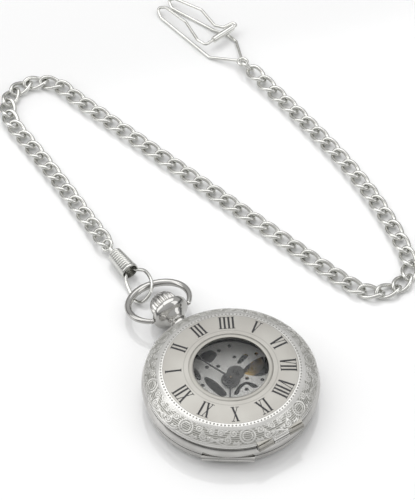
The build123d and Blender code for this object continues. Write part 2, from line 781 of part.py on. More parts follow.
def crescent(at, r_out, r_in, a0, a1, z0, z1):
    """Arc-shaped window between two angles about a point."""
    sector = [(0.0, 0.0)]
    steps = 8
    for k in range(steps + 1):
        sector.append(polar(r_out * 1.4, a0 + (a1 - a0) * k / steps))
    return centred(ring(r_out, r_in, z0, z1) & flat(sector, z0, z1), at)


pillar_points = [polar(16.9, a) for a in (20, 62, 118, 138, 172, 212, 262, 285, 338)]


def bridge_over(outline, holes):
    """Bridge at the back of the movement: a thick plate cut to an outline inside the movement's circle."""
    plate = flat(outline, bridge_bottom, bridge_top) & disc(plate_r - 0.4, bridge_bottom, bridge_top)
    for at, r in holes:
        plate -= disc(r, 0, 9, at)
    return plate


def sector(a0, a1, inner=0.0, steps=8):
    outline = [polar(25, a0 + (a1 - a0) * k / steps) for k in range(steps + 1)]
    inside = [polar(inner, a1), polar(inner, a0)] if inner else [(0.0, 0.0)]
    return outline + inside


def make_barrel_bridge():
    gap = 0.6
    holes = [(barrel_at, 0.7 + running_gap), (crown_wheel_at, contrate_r + 0.6)]
    low, high = -108, 26
    plate = bridge_over(sector(low, high), holes)
    plate -= disc(1.9 + gap, 0, 9)
    return plate


def make_train_bridge():
    holes = [(third_at, jewel_r), (centre_at, pivot_r + running_gap)]
    plate = bridge_over(sector(124, 250), holes)
    plate += disc(1.6, bridge_bottom, bridge_top) - disc(pivot_r + running_gap, 0, 9)
    return plate


def make_pallet_cock():
    """Small bridge over the escape wheel and pallets."""
    foot = pillar_points[1]
    arm = strap(foot, escape_at, 2.4)
    arm += strap(escape_at, pallet_at, 1.6)
    upper = strap(foot, pallet_at, 1.8, strap_z) + strap(pallet_at, escape_at, 1.6, strap_z)
    upper -= disc(pillar_r, 0, 9, foot)
    post = polar(2.4, math.degrees(math.atan2(pallet_at[1] - foot[1], pallet_at[0] - foot[0])), *foot)
    arm += upper + disc(0.8, bridge_bottom + 0.2, strap_z[1], post)
    return arm - disc(jewel_r, 0, 9, escape_at) - disc(jewel_r, 0, 9, pallet_at)


def make_balance_cock():
    arm = strap(pillar_points[2], balance_at, 3.0)
    return arm - disc(jewel_r, 0, 9, balance_at)


def strap(a, b, width, zone=(bridge_bottom, bridge_top)):
    """Round-ended bar between two points."""
    length = math.dist(a, b)
    angle = math.degrees(math.atan2(b[1] - a[1], b[0] - a[0]))
    bar = Pos(a[0], a[1], 0) * Rot(0, 0, angle) * block(0, length, -width / 2, width / 2, *zone)
    return bar + disc(width / 2, *zone, a) + disc(width / 2, *zone, b)


def make_bridge_screws():
    screws = []
    for at in pillar_points:
        head = disc(0.75, bridge_bottom - 0.35, bridge_bottom, at)
        screws.append(head - Pos(at[0], at[1], bridge_bottom - 0.35) * Box(2, 0.16, 0.24))
    return screws


def make_jewels():
    stones = []
    for name, at in jewelled.items():
        upper = plate_top - jewel_depth if name in through_plate else strap_z[0]
        top = plate_top if name in through_plate else strap_z[1]
        stones.append(ring(jewel_r, pivot_r + running_gap, upper, top, at))
        stones.append(ring(jewel_r, pivot_r + running_gap, bridge_bottom, bridge_bottom + jewel_depth, at))
    return stones


def make_movement_ring():
    body = ring(band_bore_r - plate_fit, plate_r + plate_fit, 3.45, plate_top)
    return body - rod_x(1.0, 10, 30)


def make_chapter_ring():
    """Flat ring of the inner dial, under the glass."""
    return ring(plate_r + 0.2, 12.4, *chapter_z)


# ---------------------------------------------------------------- bow
bow_centre_u = 5.2                       # from the bow's pivots to its centre
bow_bends = 30
bow_boss_r = 1.0
bow_end_y = math.sqrt(bow_r ** 2 - bow_centre_u ** 2)


def make_bow():
    """Ring of round wire, open at the pendant; each end has a boss and a pin in the pendant's skirt."""
    start = math.degrees(math.acos(-bow_centre_u / bow_r))
    points = [polar(bow_r, start - 2 * start * k / bow_bends, bow_centre_u) for k in range(bow_bends + 1)]
    path = Polyline(*points)
    section = Plane(origin=path @ 0, z_dir=path % 0) * Circle(bow_wire_r)
    body = sweep(section, path, transition=Transition.RIGHT)
    for side in (-1, 1):
        boss = rod_y(bow_boss_r, pendant_skirt_r + 0.25, bow_end_y + 0.6)
        boss += rod_y(bow_pin_r, bow_pin_in + 0.1, bow_end_y)
        body += boss if side > 0 else mirror(boss, Plane.XZ)
    return Pos(bow_pivot_x, 0, stem_z) * Rot(0, bow_droop, 0) * body


bow_far = bow_centre_u + bow_r
bow_far_x = bow_pivot_x + bow_far * math.cos(math.radians(bow_droop))
bow_far_z = stem_z - bow_far * math.sin(math.radians(bow_droop))


# ---------------------------------------------------------------- clasp
hook_head_x = (51.2, 51.9)
shank_r = 0.75
eye_r = 1.55
eye_x = 60.4
eye_tilt = 38.0


def make_clasp_hook():
    """Teardrop of wire through the bow, its head, the shank and the eye for the chain, in one piece."""
    x, z = bow_far_x, bow_far_z
    over = z + bow_wire_r + hook_wire_r + 0.35
    under = hook_wire_r + 0.08
    route = [
        (hook_head_x[0] + 0.3, -1.2, clasp_z),
        (48.8, -1.45, clasp_z + 0.3),
        (45.8, -3.0, over - 0.4),
        (x - 0.4, -2.3, over),
        (x - 2.9, -0.4, over - 1.0),
        (x - 3.3, 2.3, 1.5),
        (x - 1.6, 3.5, under),
        (x + 1.2, 3.2, under),
        (x + 4.6, 2.5, under + 0.7),
        (48.8, 1.45, clasp_z - 0.3),
        (hook_head_x[0] + 0.3, 1.2, clasp_z),
    ]
    loop = wire_along(Spline(*route), hook_wire_r)
    hook = loop + rod_x(1.75, *hook_head_x, z=clasp_z)
    hook += rod_x(shank_r, hook_head_x[1] - 0.1, eye_x - eye_r, z=clasp_z)
    hook += rod_x(1.3, collar_x[0], collar_x[1], z=clasp_z)
    eye = Rot(eye_tilt, 0, 0) * Torus(eye_r, hook_wire_r - 0.05)
    return hook + Pos(eye_x, 0, clasp_z) * eye


def make_clasp_sleeve():
    """Ribbed tapering sleeve, open at both ends, with a web that slides on the shank."""
    x0, x1 = sleeve_start_x, sleeve_start_x + sleeve_length
    cone = Cone(sleeve_small_r, sleeve_big_r, sleeve_length)
    cone = Pos((x0 + x1) / 2, 0, clasp_z) * Rot(0, -90, 0) * cone
    mouth = Cone(1.75, sleeve_big_r - 0.25, web_x[0] - x0)
    cone -= Pos((x0 + web_x[0]) / 2, 0, clasp_z) * Rot(0, -90, 0) * mouth
    cone -= rod_x(1.5, web_x[1], x1 + 1, z=clasp_z)
    cone -= rod_x(shank_r + running_gap, web_x[0] - 1, web_x[1] + 1, z=clasp_z)
    ribs = 9
    for k in range(ribs):
        x = x0 + 1.5 + k * (sleeve_length - 2.1) / (ribs - 1)
        local = sleeve_big_r - (sleeve_big_r - sleeve_small_r) * (x - x0) / sleeve_length
        cone -= Pos(x, 0, clasp_z) * Rot(0, 90, 0) * Torus(local + 0.08, 0.18)
    return cone


def make_clasp_spring():
    turns = 5
    length = collar_x[0] - web_x[1] - 0.4
    coil = Helix(length / turns, length, 1.12)
    wire = wire_along(coil, 0.14)
    return Pos(web_x[1] + 0.2, 0, clasp_z) * Rot(0, 90, 0) * wire


# ---------------------------------------------------------------- curb chain
chain_start = (63.5, -0.4)
chain_heading = -5.0
# the chain lies in an S: (links, degrees turned at each link, spacing)
chain_runs = (
    (10, 0.5, 4.9),
    (2, -14.0, 4.6),
    (5, -28.5, 4.65),
    (2, 2.0, 5.1),
    (18, 0.0, 5.03),
    (2, 3.0, 4.9),
    (5, 28.5, 4.8),
    (3, 2.5, 5.1),
    (6, 1.8, 5.1),
    (7, 0.6, 5.05),
)
first_link_lifts = (0.65, 0.25)          # the links beside the clasp are held off the table
last_link_lifts = (0.3, 0.6)


def link_places():
    x, y = chain_start
    heading = chain_heading
    places = [(x, y, heading)]
    for count, turn, pitch in chain_runs:
        for _ in range(count):
            x, y = polar(pitch, heading + turn / 2, x, y)
            heading += turn
            places.append((x, y, heading))
    return places


link_corners = 20                        # straight lengths of wire around a link


def make_link():
    """Oval of wire whose ends are turned opposite ways, so that neighbours lock and lie flat."""
    a = (link_length - link_wire) / 2
    b = (link_width - link_wire) / 2
    tilt = math.radians(link_twist)
    corners = []
    for k in range(link_corners // 2):
        t = 2 * math.pi * (k + 0.5) / link_corners
        twist = tilt * math.cos(t)
        corners.append((a * math.cos(t), b * math.sin(t) * math.cos(twist), b * math.sin(t) * math.sin(twist)))
    path = Polyline((corners[0][0], 0, 0), *corners, (corners[-1][0], 0, 0))
    section = Plane(origin=path @ 0, z_dir=path % 0) * Circle(link_wire / 2)
    half = sweep(section, path, transition=Transition.RIGHT)
    return half + Rot(180, 0, 0) * half


run_ends = (11, 18, 29, 39, 46, 61)      # number of links up to the end of each run


def make_chain_runs():
    link = make_link()
    places = link_places()
    lifts = [0.0] * len(places)
    lifts[0:2] = first_link_lifts
    lifts[-2:] = last_link_lifts
    start = 0
    for number, end in enumerate(run_ends, 1):
        links = []
        for k in range(start, end):
            x, y, heading = places[k]
            links.append(Pos(x, y, chain_z + lifts[k]) * Rot(0, 0, heading) * link)
        group(f"chain_run_{number}", links)
        start = end
    return places


# ---------------------------------------------------------------- belt clip
clip_ring_r = 2.1
clip_eye_r = 1.35
clip_ring_step = 0.7                     # from the last link's wire to the ring's centre
clip_eye_step = 2.15                     # from the ring's centre to the clip's eye
clip_ring_tilt = 50.0
clip_ring_z = clip_ring_r * math.sin(math.radians(clip_ring_tilt)) + clip_wire_r + 0.05


def clip_place(places):
    """Placement of the clip's own axes: U along it, V to its left; its eye is at the origin."""
    x, y, heading = places[-1]
    x, y = polar(link_length / 2 - link_wire / 2 + clip_ring_step + clip_eye_step, heading, x, y)
    return Pos(x, y, 0) * Rot(0, 0, clip_heading)


def rounded_route(points, bend):
    return FilletPolyline(*points, radius=bend)


def make_clip_wire():
    """One bent wire: an eye, two shoulders and two hairpins whose ends enter the cross tube."""
    low = clip_wire_r + 0.05
    top = 3.0
    eye_z = clip_ring_z
    left = [
        (1.0, 0.5, eye_z), (9.0, 5.0, low), (31.2, 4.6, low), (34.6, 3.3, low + 0.9),
        (32.0, 1.9, top - 0.6), (22.9, 2.0, top), (15.0, 4.4, top), (clip_tube_u, 4.0, top), (clip_tube_u, 0.0, top),
    ]
    right = [
        (1.0, -0.5, eye_z), (8.6, -5.3, low), (12.0, -5.3, low), (16.4, -3.6, low), (32.0, -0.5, low),
        (34.6, -1.4, low + 0.9), (33.0, -2.6, top - 0.6), (23.6, -4.9, top), (16.0, -3.4, top),
        (clip_tube_u + 1.9, -4.7, top), (clip_tube_u + 1.5, -8.2, top), (clip_tube_u, -8.4, top), (clip_tube_u, -5.8, top),
    ]
    body = Pos(0, 0, eye_z) * Torus(clip_eye_r, clip_wire_r)
    body += wire_along(rounded_route(left, 0.9), clip_wire_r)
    body += wire_along(rounded_route(right, 0.6), clip_wire_r)
    return body


def make_clip_tube():
    tube = Pos(clip_tube_u, -2.9, 3.0) * Rot(90, 0, 0) * Cylinder(clip_tube_r, 7.6)
    return tube - Pos(clip_tube_u, -2.9, 3.0) * Rot(90, 0, 0) * Cylinder(clip_wire_r + running_gap, 9)


def make_clip_ring():
    return Rot(-clip_ring_tilt, 0, 0) * Torus(clip_ring_r, clip_wire_r)


# ---------------------------------------------------------------- write every piece
save("case_band", make_case_band())
save("pendant", make_pendant())
save("front_bezel", make_front_bezel())
save("front_crystal", domed_glass(bezel_r - 0.04, band_top + 0.5, 1.2, 0.6))
save("back_bezel", make_back_bezel())
save("back_crystal", disc(bezel_r - 0.04, 0.97, 1.45))
save("front_hinge_pin", make_hinge_pin(front_hinge_angle, front_hinge_z))
save("back_hinge_pin", make_hinge_pin(back_hinge_angle, back_hinge_z))
group("case_clamps", make_case_clamps())
save("latch_spring", make_latch_spring())
save("movement_ring", make_movement_ring())
save("chapter_ring", make_chapter_ring())
save("front_cover", make_front_cover())
save("window_bezel", make_window_bezel())
save("window_crystal", make_window_crystal())
save("back_cover", make_back_cover())
save("main_plate", make_main_plate())
save("barrel_bridge", make_barrel_bridge())
save("train_bridge", make_train_bridge())
save("pallet_cock", make_pallet_cock())
save("balance_cock", make_balance_cock())
group("bridge_screws", make_bridge_screws())
group("jewels", make_jewels())
save("crown", make_crown())
save("winding_stem", make_winding_stem())
save("winding_pinion", make_winding_pinion())
save("sliding_clutch", make_sliding_clutch())
save("crown_wheel", make_crown_wheel())
save("ratchet_wheel", make_ratchet_wheel())
save("barrel_arbor", make_barrel_arbor())
save("click", make_click())
save("mainspring_barrel", make_barrel())
save("mainspring", make_mainspring())
save("centre_wheel", make_centre_wheel())
save("cannon_pinion", make_cannon_pinion())
save("minute_hand", make_minute_hand())
save("third_wheel", make_train_wheel(
    third_teeth, third_module, third_phase, third_z,
    third_pinion, centre_module, third_phase, (centre_z[0] - 0.03, centre_z[1] + 0.03),
    (bridge_bottom, plate_top), third_at,
))
save("fourth_wheel", make_fourth_wheel())
save("seconds_hand", make_seconds_hand())
save("escape_wheel", make_escape_wheel())
save("pallet_fork", make_pallet_fork())
save("balance_wheel", make_balance_wheel())
save("hairspring", make_hairspring())
save("minute_wheel", make_minute_wheel())
save("hour_wheel", make_hour_wheel())
save("hour_hand", make_hour_hand())
save("bow", make_bow())
save("clasp_hook", make_clasp_hook())
save("clasp_sleeve", make_clasp_sleeve())
save("clasp_spring", make_clasp_spring())
chain_places = make_chain_runs()
clip_frame = clip_place(chain_places)
save("belt_clip", clip_frame * make_clip_wire())
save("clip_tube", clip_frame * make_clip_tube())
last_x, last_y, last_heading = chain_places[-1]
ring_at = polar(link_length / 2 - link_wire / 2 + clip_ring_step, last_heading, last_x, last_y)
save("clip_ring", Pos(*ring_at, clip_ring_z) * make_clip_ring())
for name, count, volume in written:
    print(f"{name:20s} {count:3d} solids {volume:10.3f} mm3")
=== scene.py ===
"""Looks for a double-cover pocket watch with an engraved windowed cover and a curb chain.

Metres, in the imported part's own frame: +X along the winding stem, +Y towards 12, +Z out of the dial.
Shapes are worked out in millimetres and turned to metres when a mesh is made.
"""
import json
import math

import bmesh
import bpy
import numpy as np
from mathutils import Matrix, Vector


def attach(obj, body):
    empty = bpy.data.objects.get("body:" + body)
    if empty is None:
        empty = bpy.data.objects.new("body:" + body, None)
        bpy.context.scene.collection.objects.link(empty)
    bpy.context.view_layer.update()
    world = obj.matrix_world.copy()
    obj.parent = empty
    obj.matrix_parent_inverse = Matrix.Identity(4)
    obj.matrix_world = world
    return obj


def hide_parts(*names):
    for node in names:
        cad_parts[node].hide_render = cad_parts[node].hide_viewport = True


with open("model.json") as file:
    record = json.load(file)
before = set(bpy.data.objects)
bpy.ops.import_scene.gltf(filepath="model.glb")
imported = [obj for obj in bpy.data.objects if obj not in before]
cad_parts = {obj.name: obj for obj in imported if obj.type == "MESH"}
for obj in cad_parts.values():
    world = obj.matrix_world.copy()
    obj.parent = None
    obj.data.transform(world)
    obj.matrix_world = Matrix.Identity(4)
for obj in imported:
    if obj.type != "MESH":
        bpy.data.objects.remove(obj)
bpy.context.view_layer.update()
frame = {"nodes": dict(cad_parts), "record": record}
nodes = frame["nodes"]
MM = 0.001

# sizes of the watch, in millimetres
stem_z = 5.4
band_top = 7.3
seam = 0.05
window_r = 9.9
cover_top_z = 12.2
shoulder_r, shoulder_z = 18.7, 11.4
rim_r = 23.0
hinge_r, hinge_half, knuckle_r = 22.75, 6.9, 0.85
middle_half, knuckle_gap = 2.35, 0.08


# ---------------------------------------------------------------- shapes
def polar(r, degrees, x=0.0, y=0.0):
    return x + r * math.cos(math.radians(degrees)), y + r * math.sin(math.radians(degrees))


def curve_through(points, steps):
    """Smooth run of points through the given ones."""
    p = np.array(points, float)
    p = np.vstack([2 * p[0] - p[1], p, 2 * p[-1] - p[-2]])
    out = []
    for i in range(1, len(p) - 2):
        for t in np.linspace(0, 1, steps, endpoint=False):
            a, b, c, d = p[i - 1], p[i], p[i + 1], p[i + 2]
            out.append(0.5 * (2 * b + (c - a) * t + (2 * a - 5 * b + 4 * c - d) * t ** 2
                              + (3 * b - a - 3 * c + d) * t ** 3))
    out.append(p[-2])
    return [tuple(q) for q in out]


def arc_through(a, b, c, steps):
    """Points along the circle through three points of a section, both ends included."""
    (ax, ay), (bx, by), (cx, cy) = a, b, c
    d = 2 * (ax * (by - cy) + bx * (cy - ay) + cx * (ay - by))
    a2, b2, c2 = ax ** 2 + ay ** 2, bx ** 2 + by ** 2, cx ** 2 + cy ** 2
    ux = (a2 * (by - cy) + b2 * (cy - ay) + c2 * (ay - by)) / d
    uy = (a2 * (cx - bx) + b2 * (ax - cx) + c2 * (bx - ax)) / d
    r = math.hypot(ax - ux, ay - uy)
    t0, t1, t2 = (math.atan2(p[1] - uy, p[0] - ux) for p in (a, b, c))
    while t1 - t0 > math.pi:
        t1 -= 2 * math.pi
    while t1 - t0 < -math.pi:
        t1 += 2 * math.pi
    while t2 - t1 > math.pi:
        t2 -= 2 * math.pi
    while t2 - t1 < -math.pi:
        t2 += 2 * math.pi
    return [(ux + r * math.cos(t), uy + r * math.sin(t)) for t in np.linspace(t0, t2, steps + 1)]


def grid_faces(rows, columns, wrap_rows=False, wrap_columns=True):
    faces = []
    for i in range(rows if wrap_rows else rows - 1):
        for j in range(columns if wrap_columns else columns - 1):
            a, b = i * columns + j, i * columns + (j + 1) % columns
            k = ((i + 1) % rows) * columns
            faces.append((a, b, k + (j + 1) % columns, k + j))
    return faces


def turned(section, segments, closed=True):
    """Solid of revolution about Z; each point of the section is (radius, height)."""
    angles = np.linspace(0, 2 * math.pi, segments, endpoint=False)
    points = [(r * math.cos(a), r * math.sin(a), z) for r, z in section for a in angles]
    return points, grid_faces(len(section), segments, wrap_rows=closed)


def tube(path, radii, sides=14, closed=False, flatten=1.0, up=(0, 0, 1)):
    """Round or flattened wire along a path of points, capped at both ends when it is open."""
    p = np.array(path, float)
    n = len(p)
    radii = np.broadcast_to(np.array(radii, float), (n,))
    if closed:
        tangent = np.roll(p, -1, 0) - np.roll(p, 1, 0)
    else:
        tangent = np.gradient(p, axis=0)
    tangent /= np.linalg.norm(tangent, axis=1)[:, None]
    side = np.cross(tangent[0], up)
    if np.linalg.norm(side) < 0.05:
        side = np.cross(tangent[0], (0, 1, 0))
    points = []
    frames = []
    for i in range(n):
        side = side - tangent[i] * (side @ tangent[i])
        side /= np.linalg.norm(side)
        frames.append((side.copy(), np.cross(tangent[i], side)))
    if closed:
        first, last = frames[0][0], frames[-1][0]
        slip = math.atan2(np.cross(last, first) @ tangent[0], last @ first)
        for i, (s, u) in enumerate(frames):
            a = slip * i / n
            frames[i] = (s * math.cos(a) + u * math.sin(a), u * math.cos(a) - s * math.sin(a))
    for i in range(n):
        s, u = frames[i]
        for k in range(sides):
            a = 2 * math.pi * k / sides
            points.append(tuple(p[i] + radii[i] * (s * math.cos(a) + u * flatten * math.sin(a))))
    faces = grid_faces(n, sides, wrap_rows=closed)
    if not closed:
        faces.append(tuple(range(sides)))
        faces.append(tuple(range((n - 1) * sides, n * sides)))
    return points, faces


def along_stem(points):
    """Points made about Z, laid so that +Z becomes +X at the stem's height."""
    return [(z, y, stem_z - x) for x, y, z in points]


def joined(*parts):
    points, faces = [], []
    for p, f in parts:
        base = len(points)
        points += list(p)
        faces += [tuple(i + base for i in face) for face in f]
    return points, faces


def placed(part, matrix):
    points, faces = part
    m = np.array(matrix)
    p = np.array(points) @ m[:3, :3].T + m[:3, 3]
    return [tuple(q) for q in p], faces


def block(x0, x1, y0, y1, z0, z1, bevel=0.0):
    b = bmesh.new()
    bmesh.ops.create_cube(b, size=1)
    for v in b.verts:
        v.co = ((x0 + x1) / 2 + v.co.x * (x1 - x0), (y0 + y1) / 2 + v.co.y * (y1 - y0),
                (z0 + z1) / 2 + v.co.z * (z1 - z0))
    if bevel:
        bmesh.ops.bevel(b, geom=b.edges[:], offset=bevel, segments=2, affect="EDGES")
    b.verts.ensure_lookup_table()
    part = [tuple(v.co) for v in b.verts], [tuple(v.index for v in f.verts) for f in b.faces]
    b.free()
    return part


def piece(name, part, material, body, replaces=(), crease=32.0, attributes=None):
    """A finished object: mesh in metres, seams closed, faces outwards, riding on its body."""
    points, faces = part
    mesh = bpy.data.meshes.new(name)
    mesh.from_pydata([(x * MM, y * MM, z * MM) for x, y, z in points], [], faces)
    for key, values in (attributes or {}).items():
        mesh.attributes.new(key, "FLOAT", "POINT").data.foreach_set("value", np.array(values, np.float32))
    b = bmesh.new()
    b.from_mesh(mesh)
    bmesh.ops.remove_doubles(b, verts=b.verts[:], dist=2e-6)
    bmesh.ops.recalc_face_normals(b, faces=b.faces[:])
    b.to_mesh(mesh)
    b.free()
    return dress(name, mesh, material, body, replaces, crease)


def dress(name, mesh, material, body, replaces=(), crease=32.0):
    mesh.polygons.foreach_set("use_smooth", [True] * len(mesh.polygons))
    mesh.set_sharp_from_angle(angle=math.radians(crease))
    mesh.materials.clear()
    mesh.materials.append(material)
    made = bpy.data.objects.new(name, mesh)
    bpy.context.scene.collection.objects.link(made)
    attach(made, body)
    if replaces:
        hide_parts(*replaces)
    return made


# ---------------------------------------------------------------- finishes
def rgb(code):
    """Linear colour from an sRGB hex value."""
    parts = [int(code[i:i + 2], 16) / 255 for i in (1, 3, 5)]
    return tuple(c / 12.92 if c <= 0.04045 else ((c + 0.055) / 1.055) ** 2.4 for c in parts) + (1.0,)


def add(tree, kind, inputs=None, **settings):
    """One node: its settings, then its inputs, which are values or other nodes' outputs."""
    made = tree.nodes.new(kind)
    for key, value in settings.items():
        setattr(made, key, value)
    for key, value in (inputs or {}).items():
        if isinstance(value, bpy.types.NodeSocket):
            tree.links.new(value, made.inputs[key])
        else:
            made.inputs[key].default_value = value
    return made


def finish_named(name):
    material = bpy.data.materials.new(name)
    material.use_nodes = True
    tree = material.node_tree
    tree.nodes.clear()
    shader = add(tree, "ShaderNodeBsdfPrincipled")
    add(tree, "ShaderNodeOutputMaterial", {"Surface": shader.outputs[0]})
    place = add(tree, "ShaderNodeTexCoord").outputs["Object"]
    return material, tree, shader, place


def ramp(tree, factor, stops):
    made = add(tree, "ShaderNodeValToRGB", {0: factor})
    line = made.color_ramp
    while len(line.elements) < len(stops):
        line.elements.new(0.5)
    for element, (at, colour) in zip(line.elements, stops):
        element.position = at
        element.color = colour if len(colour) == 4 else (colour[0],) * 3 + (1.0,)
    return made.outputs["Color"]


def plated_metal(name, light, dark, rough_low, rough_high, scratch_mm=0.25, bump=0.02):
    """Metal whose colour and polish drift a little, with hairline scratches of one real spacing."""
    material, tree, shader, place = finish_named(name)
    cloud = add(tree, "ShaderNodeTexNoise", {"Vector": place, "Scale": 160.0, "Detail": 3.0}).outputs["Fac"]
    colour = ramp(tree, cloud, [(0.3, rgb(dark)), (0.7, rgb(light))])
    rough = add(tree, "ShaderNodeMapRange", {0: cloud, 1: 0.3, 2: 0.7, 3: rough_low, 4: rough_high}).outputs[0]
    streaks = add(tree, "ShaderNodeMapping", {
        "Vector": place, "Rotation": (0.3, 0.2, 0.9), "Scale": (1, 0.06, 1)})
    hair = add(tree, "ShaderNodeTexNoise", {
        "Vector": streaks.outputs[0], "Scale": 1 / (scratch_mm * MM), "Detail": 4.0}).outputs["Fac"]
    raised = add(tree, "ShaderNodeBump", {"Height": hair, "Strength": bump, "Distance": 0.0001}).outputs[0]
    tree.links.new(colour, shader.inputs["Base Color"])
    tree.links.new(rough, shader.inputs["Roughness"])
    tree.links.new(raised, shader.inputs["Normal"])
    shader.inputs["Metallic"].default_value = 1.0
    return material


# bright nickel-chrome plate over buffed brass: near-white, mirror-like, with faint wiping marks
case_plate = plated_metal("bright_chrome_plate", "#C9C8C5", "#B4B3B0", 0.05, 0.13)
# tumbled and plated wire: a shade duller than the buffed case
wire_plate = plated_metal("tumbled_plated_wire", "#E3E3DF", "#D0D0CC", 0.17, 0.27, 0.18, 0.05)
# ground tool steel of stems, screws and springs: grey, with drawn grain
ground_steel = plated_metal("ground_steel", "#C9CCD0", "#9FA3A8", 0.16, 0.30, 0.12, 0.10)
# gilt train wheels: warm, fine-brushed
gilt = plated_metal("gilt_brass", "#E3C37A", "#C49B4A", 0.18, 0.30, 0.10, 0.08)
# flame-blued hairspring steel
blued = plated_metal("blued_steel", "#4D6590", "#2E3C66", 0.14, 0.26, 0.10, 0.04)


def frosted_nickel():
    """Nickel-plated movement plate with overlapping spotted circles, drawn 0.8 mm apart."""
    material, tree, shader, place = finish_named("spotted_nickel_plate")
    spots = add(tree, "ShaderNodeTexVoronoi", {"Vector": place, "Scale": 1 / (0.8 * MM), "Randomness": 0.12},
                voronoi_dimensions="3D", feature="F1").outputs["Distance"]
    rings = add(tree, "ShaderNodeMath", {0: spots, 1: 42.0}, operation="MULTIPLY").outputs[0]
    wave = add(tree, "ShaderNodeMath", {0: rings}, operation="SINE").outputs[0]
    grain = add(tree, "ShaderNodeTexNoise", {"Vector": place, "Scale": 5200.0, "Detail": 2.0}).outputs["Fac"]
    mixed = add(tree, "ShaderNodeMath", {0: wave, 1: 0.25, 2: grain}, operation="MULTIPLY_ADD").outputs[0]
    colour = ramp(tree, mixed, [(0.34, rgb("#7C7C78")), (0.56, rgb("#F4F3EF"))])
    raised = add(tree, "ShaderNodeBump", {"Height": mixed, "Strength": 0.5, "Distance": 0.00004}).outputs[0]
    tree.links.new(colour, shader.inputs["Base Color"])
    tree.links.new(raised, shader.inputs["Normal"])
    shader.inputs["Metallic"].default_value = 0.25
    shader.inputs["Roughness"].default_value = 0.42
    return material


spotted = frosted_nickel()


def engraved_cover():
    """Chrome cover: satin dial ring between two scribed lines, and a border whose cut ground is frosted and painted
    darker as shade in the cuts, with a painted highlight whitening the proud relief.
    """
    material, tree, shader, place = finish_named("engraved_chrome_cover")
    split = add(tree, "ShaderNodeSeparateXYZ", {0: place})
    flat = add(tree, "ShaderNodeCombineXYZ", {0: split.outputs[0], 1: split.outputs[1]}).outputs[0]
    radius = add(tree, "ShaderNodeVectorMath", {0: flat}, operation="LENGTH").outputs["Value"]
    height = split.outputs[2]
    scale = 1 / (30 * MM)
    share = add(tree, "ShaderNodeMath", {0: radius, 1: scale}, operation="MULTIPLY").outputs[0]

    def at(mm):
        return mm / 30.0

    line = 0.09
    white, black = (1.0,), (0.0,)
    satin = ramp(tree, share, [(0.0, white), (at(17.80), white), (at(17.85), black)])
    scribed = ramp(tree, share, [
        (0.0, white), (at(12.35 - line), white), (at(12.35), black), (at(12.35 + line), white),
        (at(17.83 - line), white), (at(17.83), black), (at(17.83 + line), white)])
    above = add(tree, "ShaderNodeMath", {0: height, 1: 8.0 * MM}, operation="GREATER_THAN").outputs[0]
    relief = add(tree, "ShaderNodeAttribute", attribute_name="relief").outputs["Fac"]
    grain = add(tree, "ShaderNodeTexNoise", {"Vector": place, "Scale": 3400.0, "Detail": 3.0}).outputs["Fac"]
    cloud = add(tree, "ShaderNodeTexNoise", {"Vector": place, "Scale": 120.0, "Detail": 2.0}).outputs["Fac"]
    ring_colour = ramp(tree, cloud, [(0.3, rgb("#B2AFA9")), (0.7, rgb("#BCBAB4"))])
    plate_colour = ramp(tree, cloud, [(0.3, rgb("#D6D5D1")), (0.7, rgb("#E2E1DE"))])
    # painted shade and highlight: the cut ground of the relief is painted darker and the proud tops whiter, on top of
    # the frosted roughness set further down
    ground = ramp(tree, relief, [(0.0, rgb("#A2A29E")), (0.35, rgb("#DCDCD9")), (0.8, rgb("#F6F6F5")),
                                 (1.0, rgb("#FFFFFF"))])
    border_with_painted_relief_light = add(tree, "ShaderNodeMix", {0: 1.0, 6: plate_colour, 7: ground}, data_type="RGBA",
                 blend_type="MULTIPLY").outputs[2]
    zone = add(tree, "ShaderNodeMix", {0: satin, 6: border_with_painted_relief_light, 7: ring_colour}, data_type="RGBA").outputs[2]
    final = add(tree, "ShaderNodeMix", {0: 0.6, 6: zone, 7: scribed}, data_type="RGBA",
                blend_type="MULTIPLY").outputs[2]
    masked = add(tree, "ShaderNodeMix", {0: above, 6: plate_colour, 7: final}, data_type="RGBA").outputs[2]
    tree.links.new(masked, shader.inputs["Base Color"])
    cut_rough = add(tree, "ShaderNodeMapRange", {0: relief, 1: 0.0, 2: 0.8, 3: 0.42, 4: 0.20}).outputs[0]
    rough = add(tree, "ShaderNodeMix", {0: satin, 2: cut_rough, 3: 0.45}).outputs[0]
    tree.links.new(rough, shader.inputs["Roughness"])
    lift = add(tree, "ShaderNodeMath", {0: grain, 1: satin}, operation="MULTIPLY").outputs[0]
    raised = add(tree, "ShaderNodeBump", {"Height": lift, "Strength": 0.25, "Distance": 0.00005}).outputs[0]
    tree.links.new(raised, shader.inputs["Normal"])
    metal = add(tree, "ShaderNodeMapRange", {0: satin, 1: 0.0, 2: 1.0, 3: 0.55, 4: 0.7}).outputs[0]
    tree.links.new(metal, shader.inputs["Metallic"])
    return material


cover_finish = engraved_cover()
# window ring: the same nickel, brushed rather than buffed, so it reads as a soft edge
ring_satin = plated_metal("brushed_nickel_ring", "#ABA9A3", "#9B9993", 0.34, 0.46, 0.15, 0.12)
# main plate under the skeleton dial: painted shade, a dark, dull ground so that the dial's windows show as shaded
# recesses
shade_dark_main_plate = plated_metal("painted_shade_main_plate", "#2B2B29", "#141413", 0.45, 0.6, 0.10, 0.30)
# motion works under the hands: steel wheels painted dark grey, painted shade for the depth under the dial
shade_dark_motion_steel = plated_metal("painted_shade_motion_wheels", "#4C4C4A", "#2A2A29", 0.25, 0.40, 0.10, 0.10)


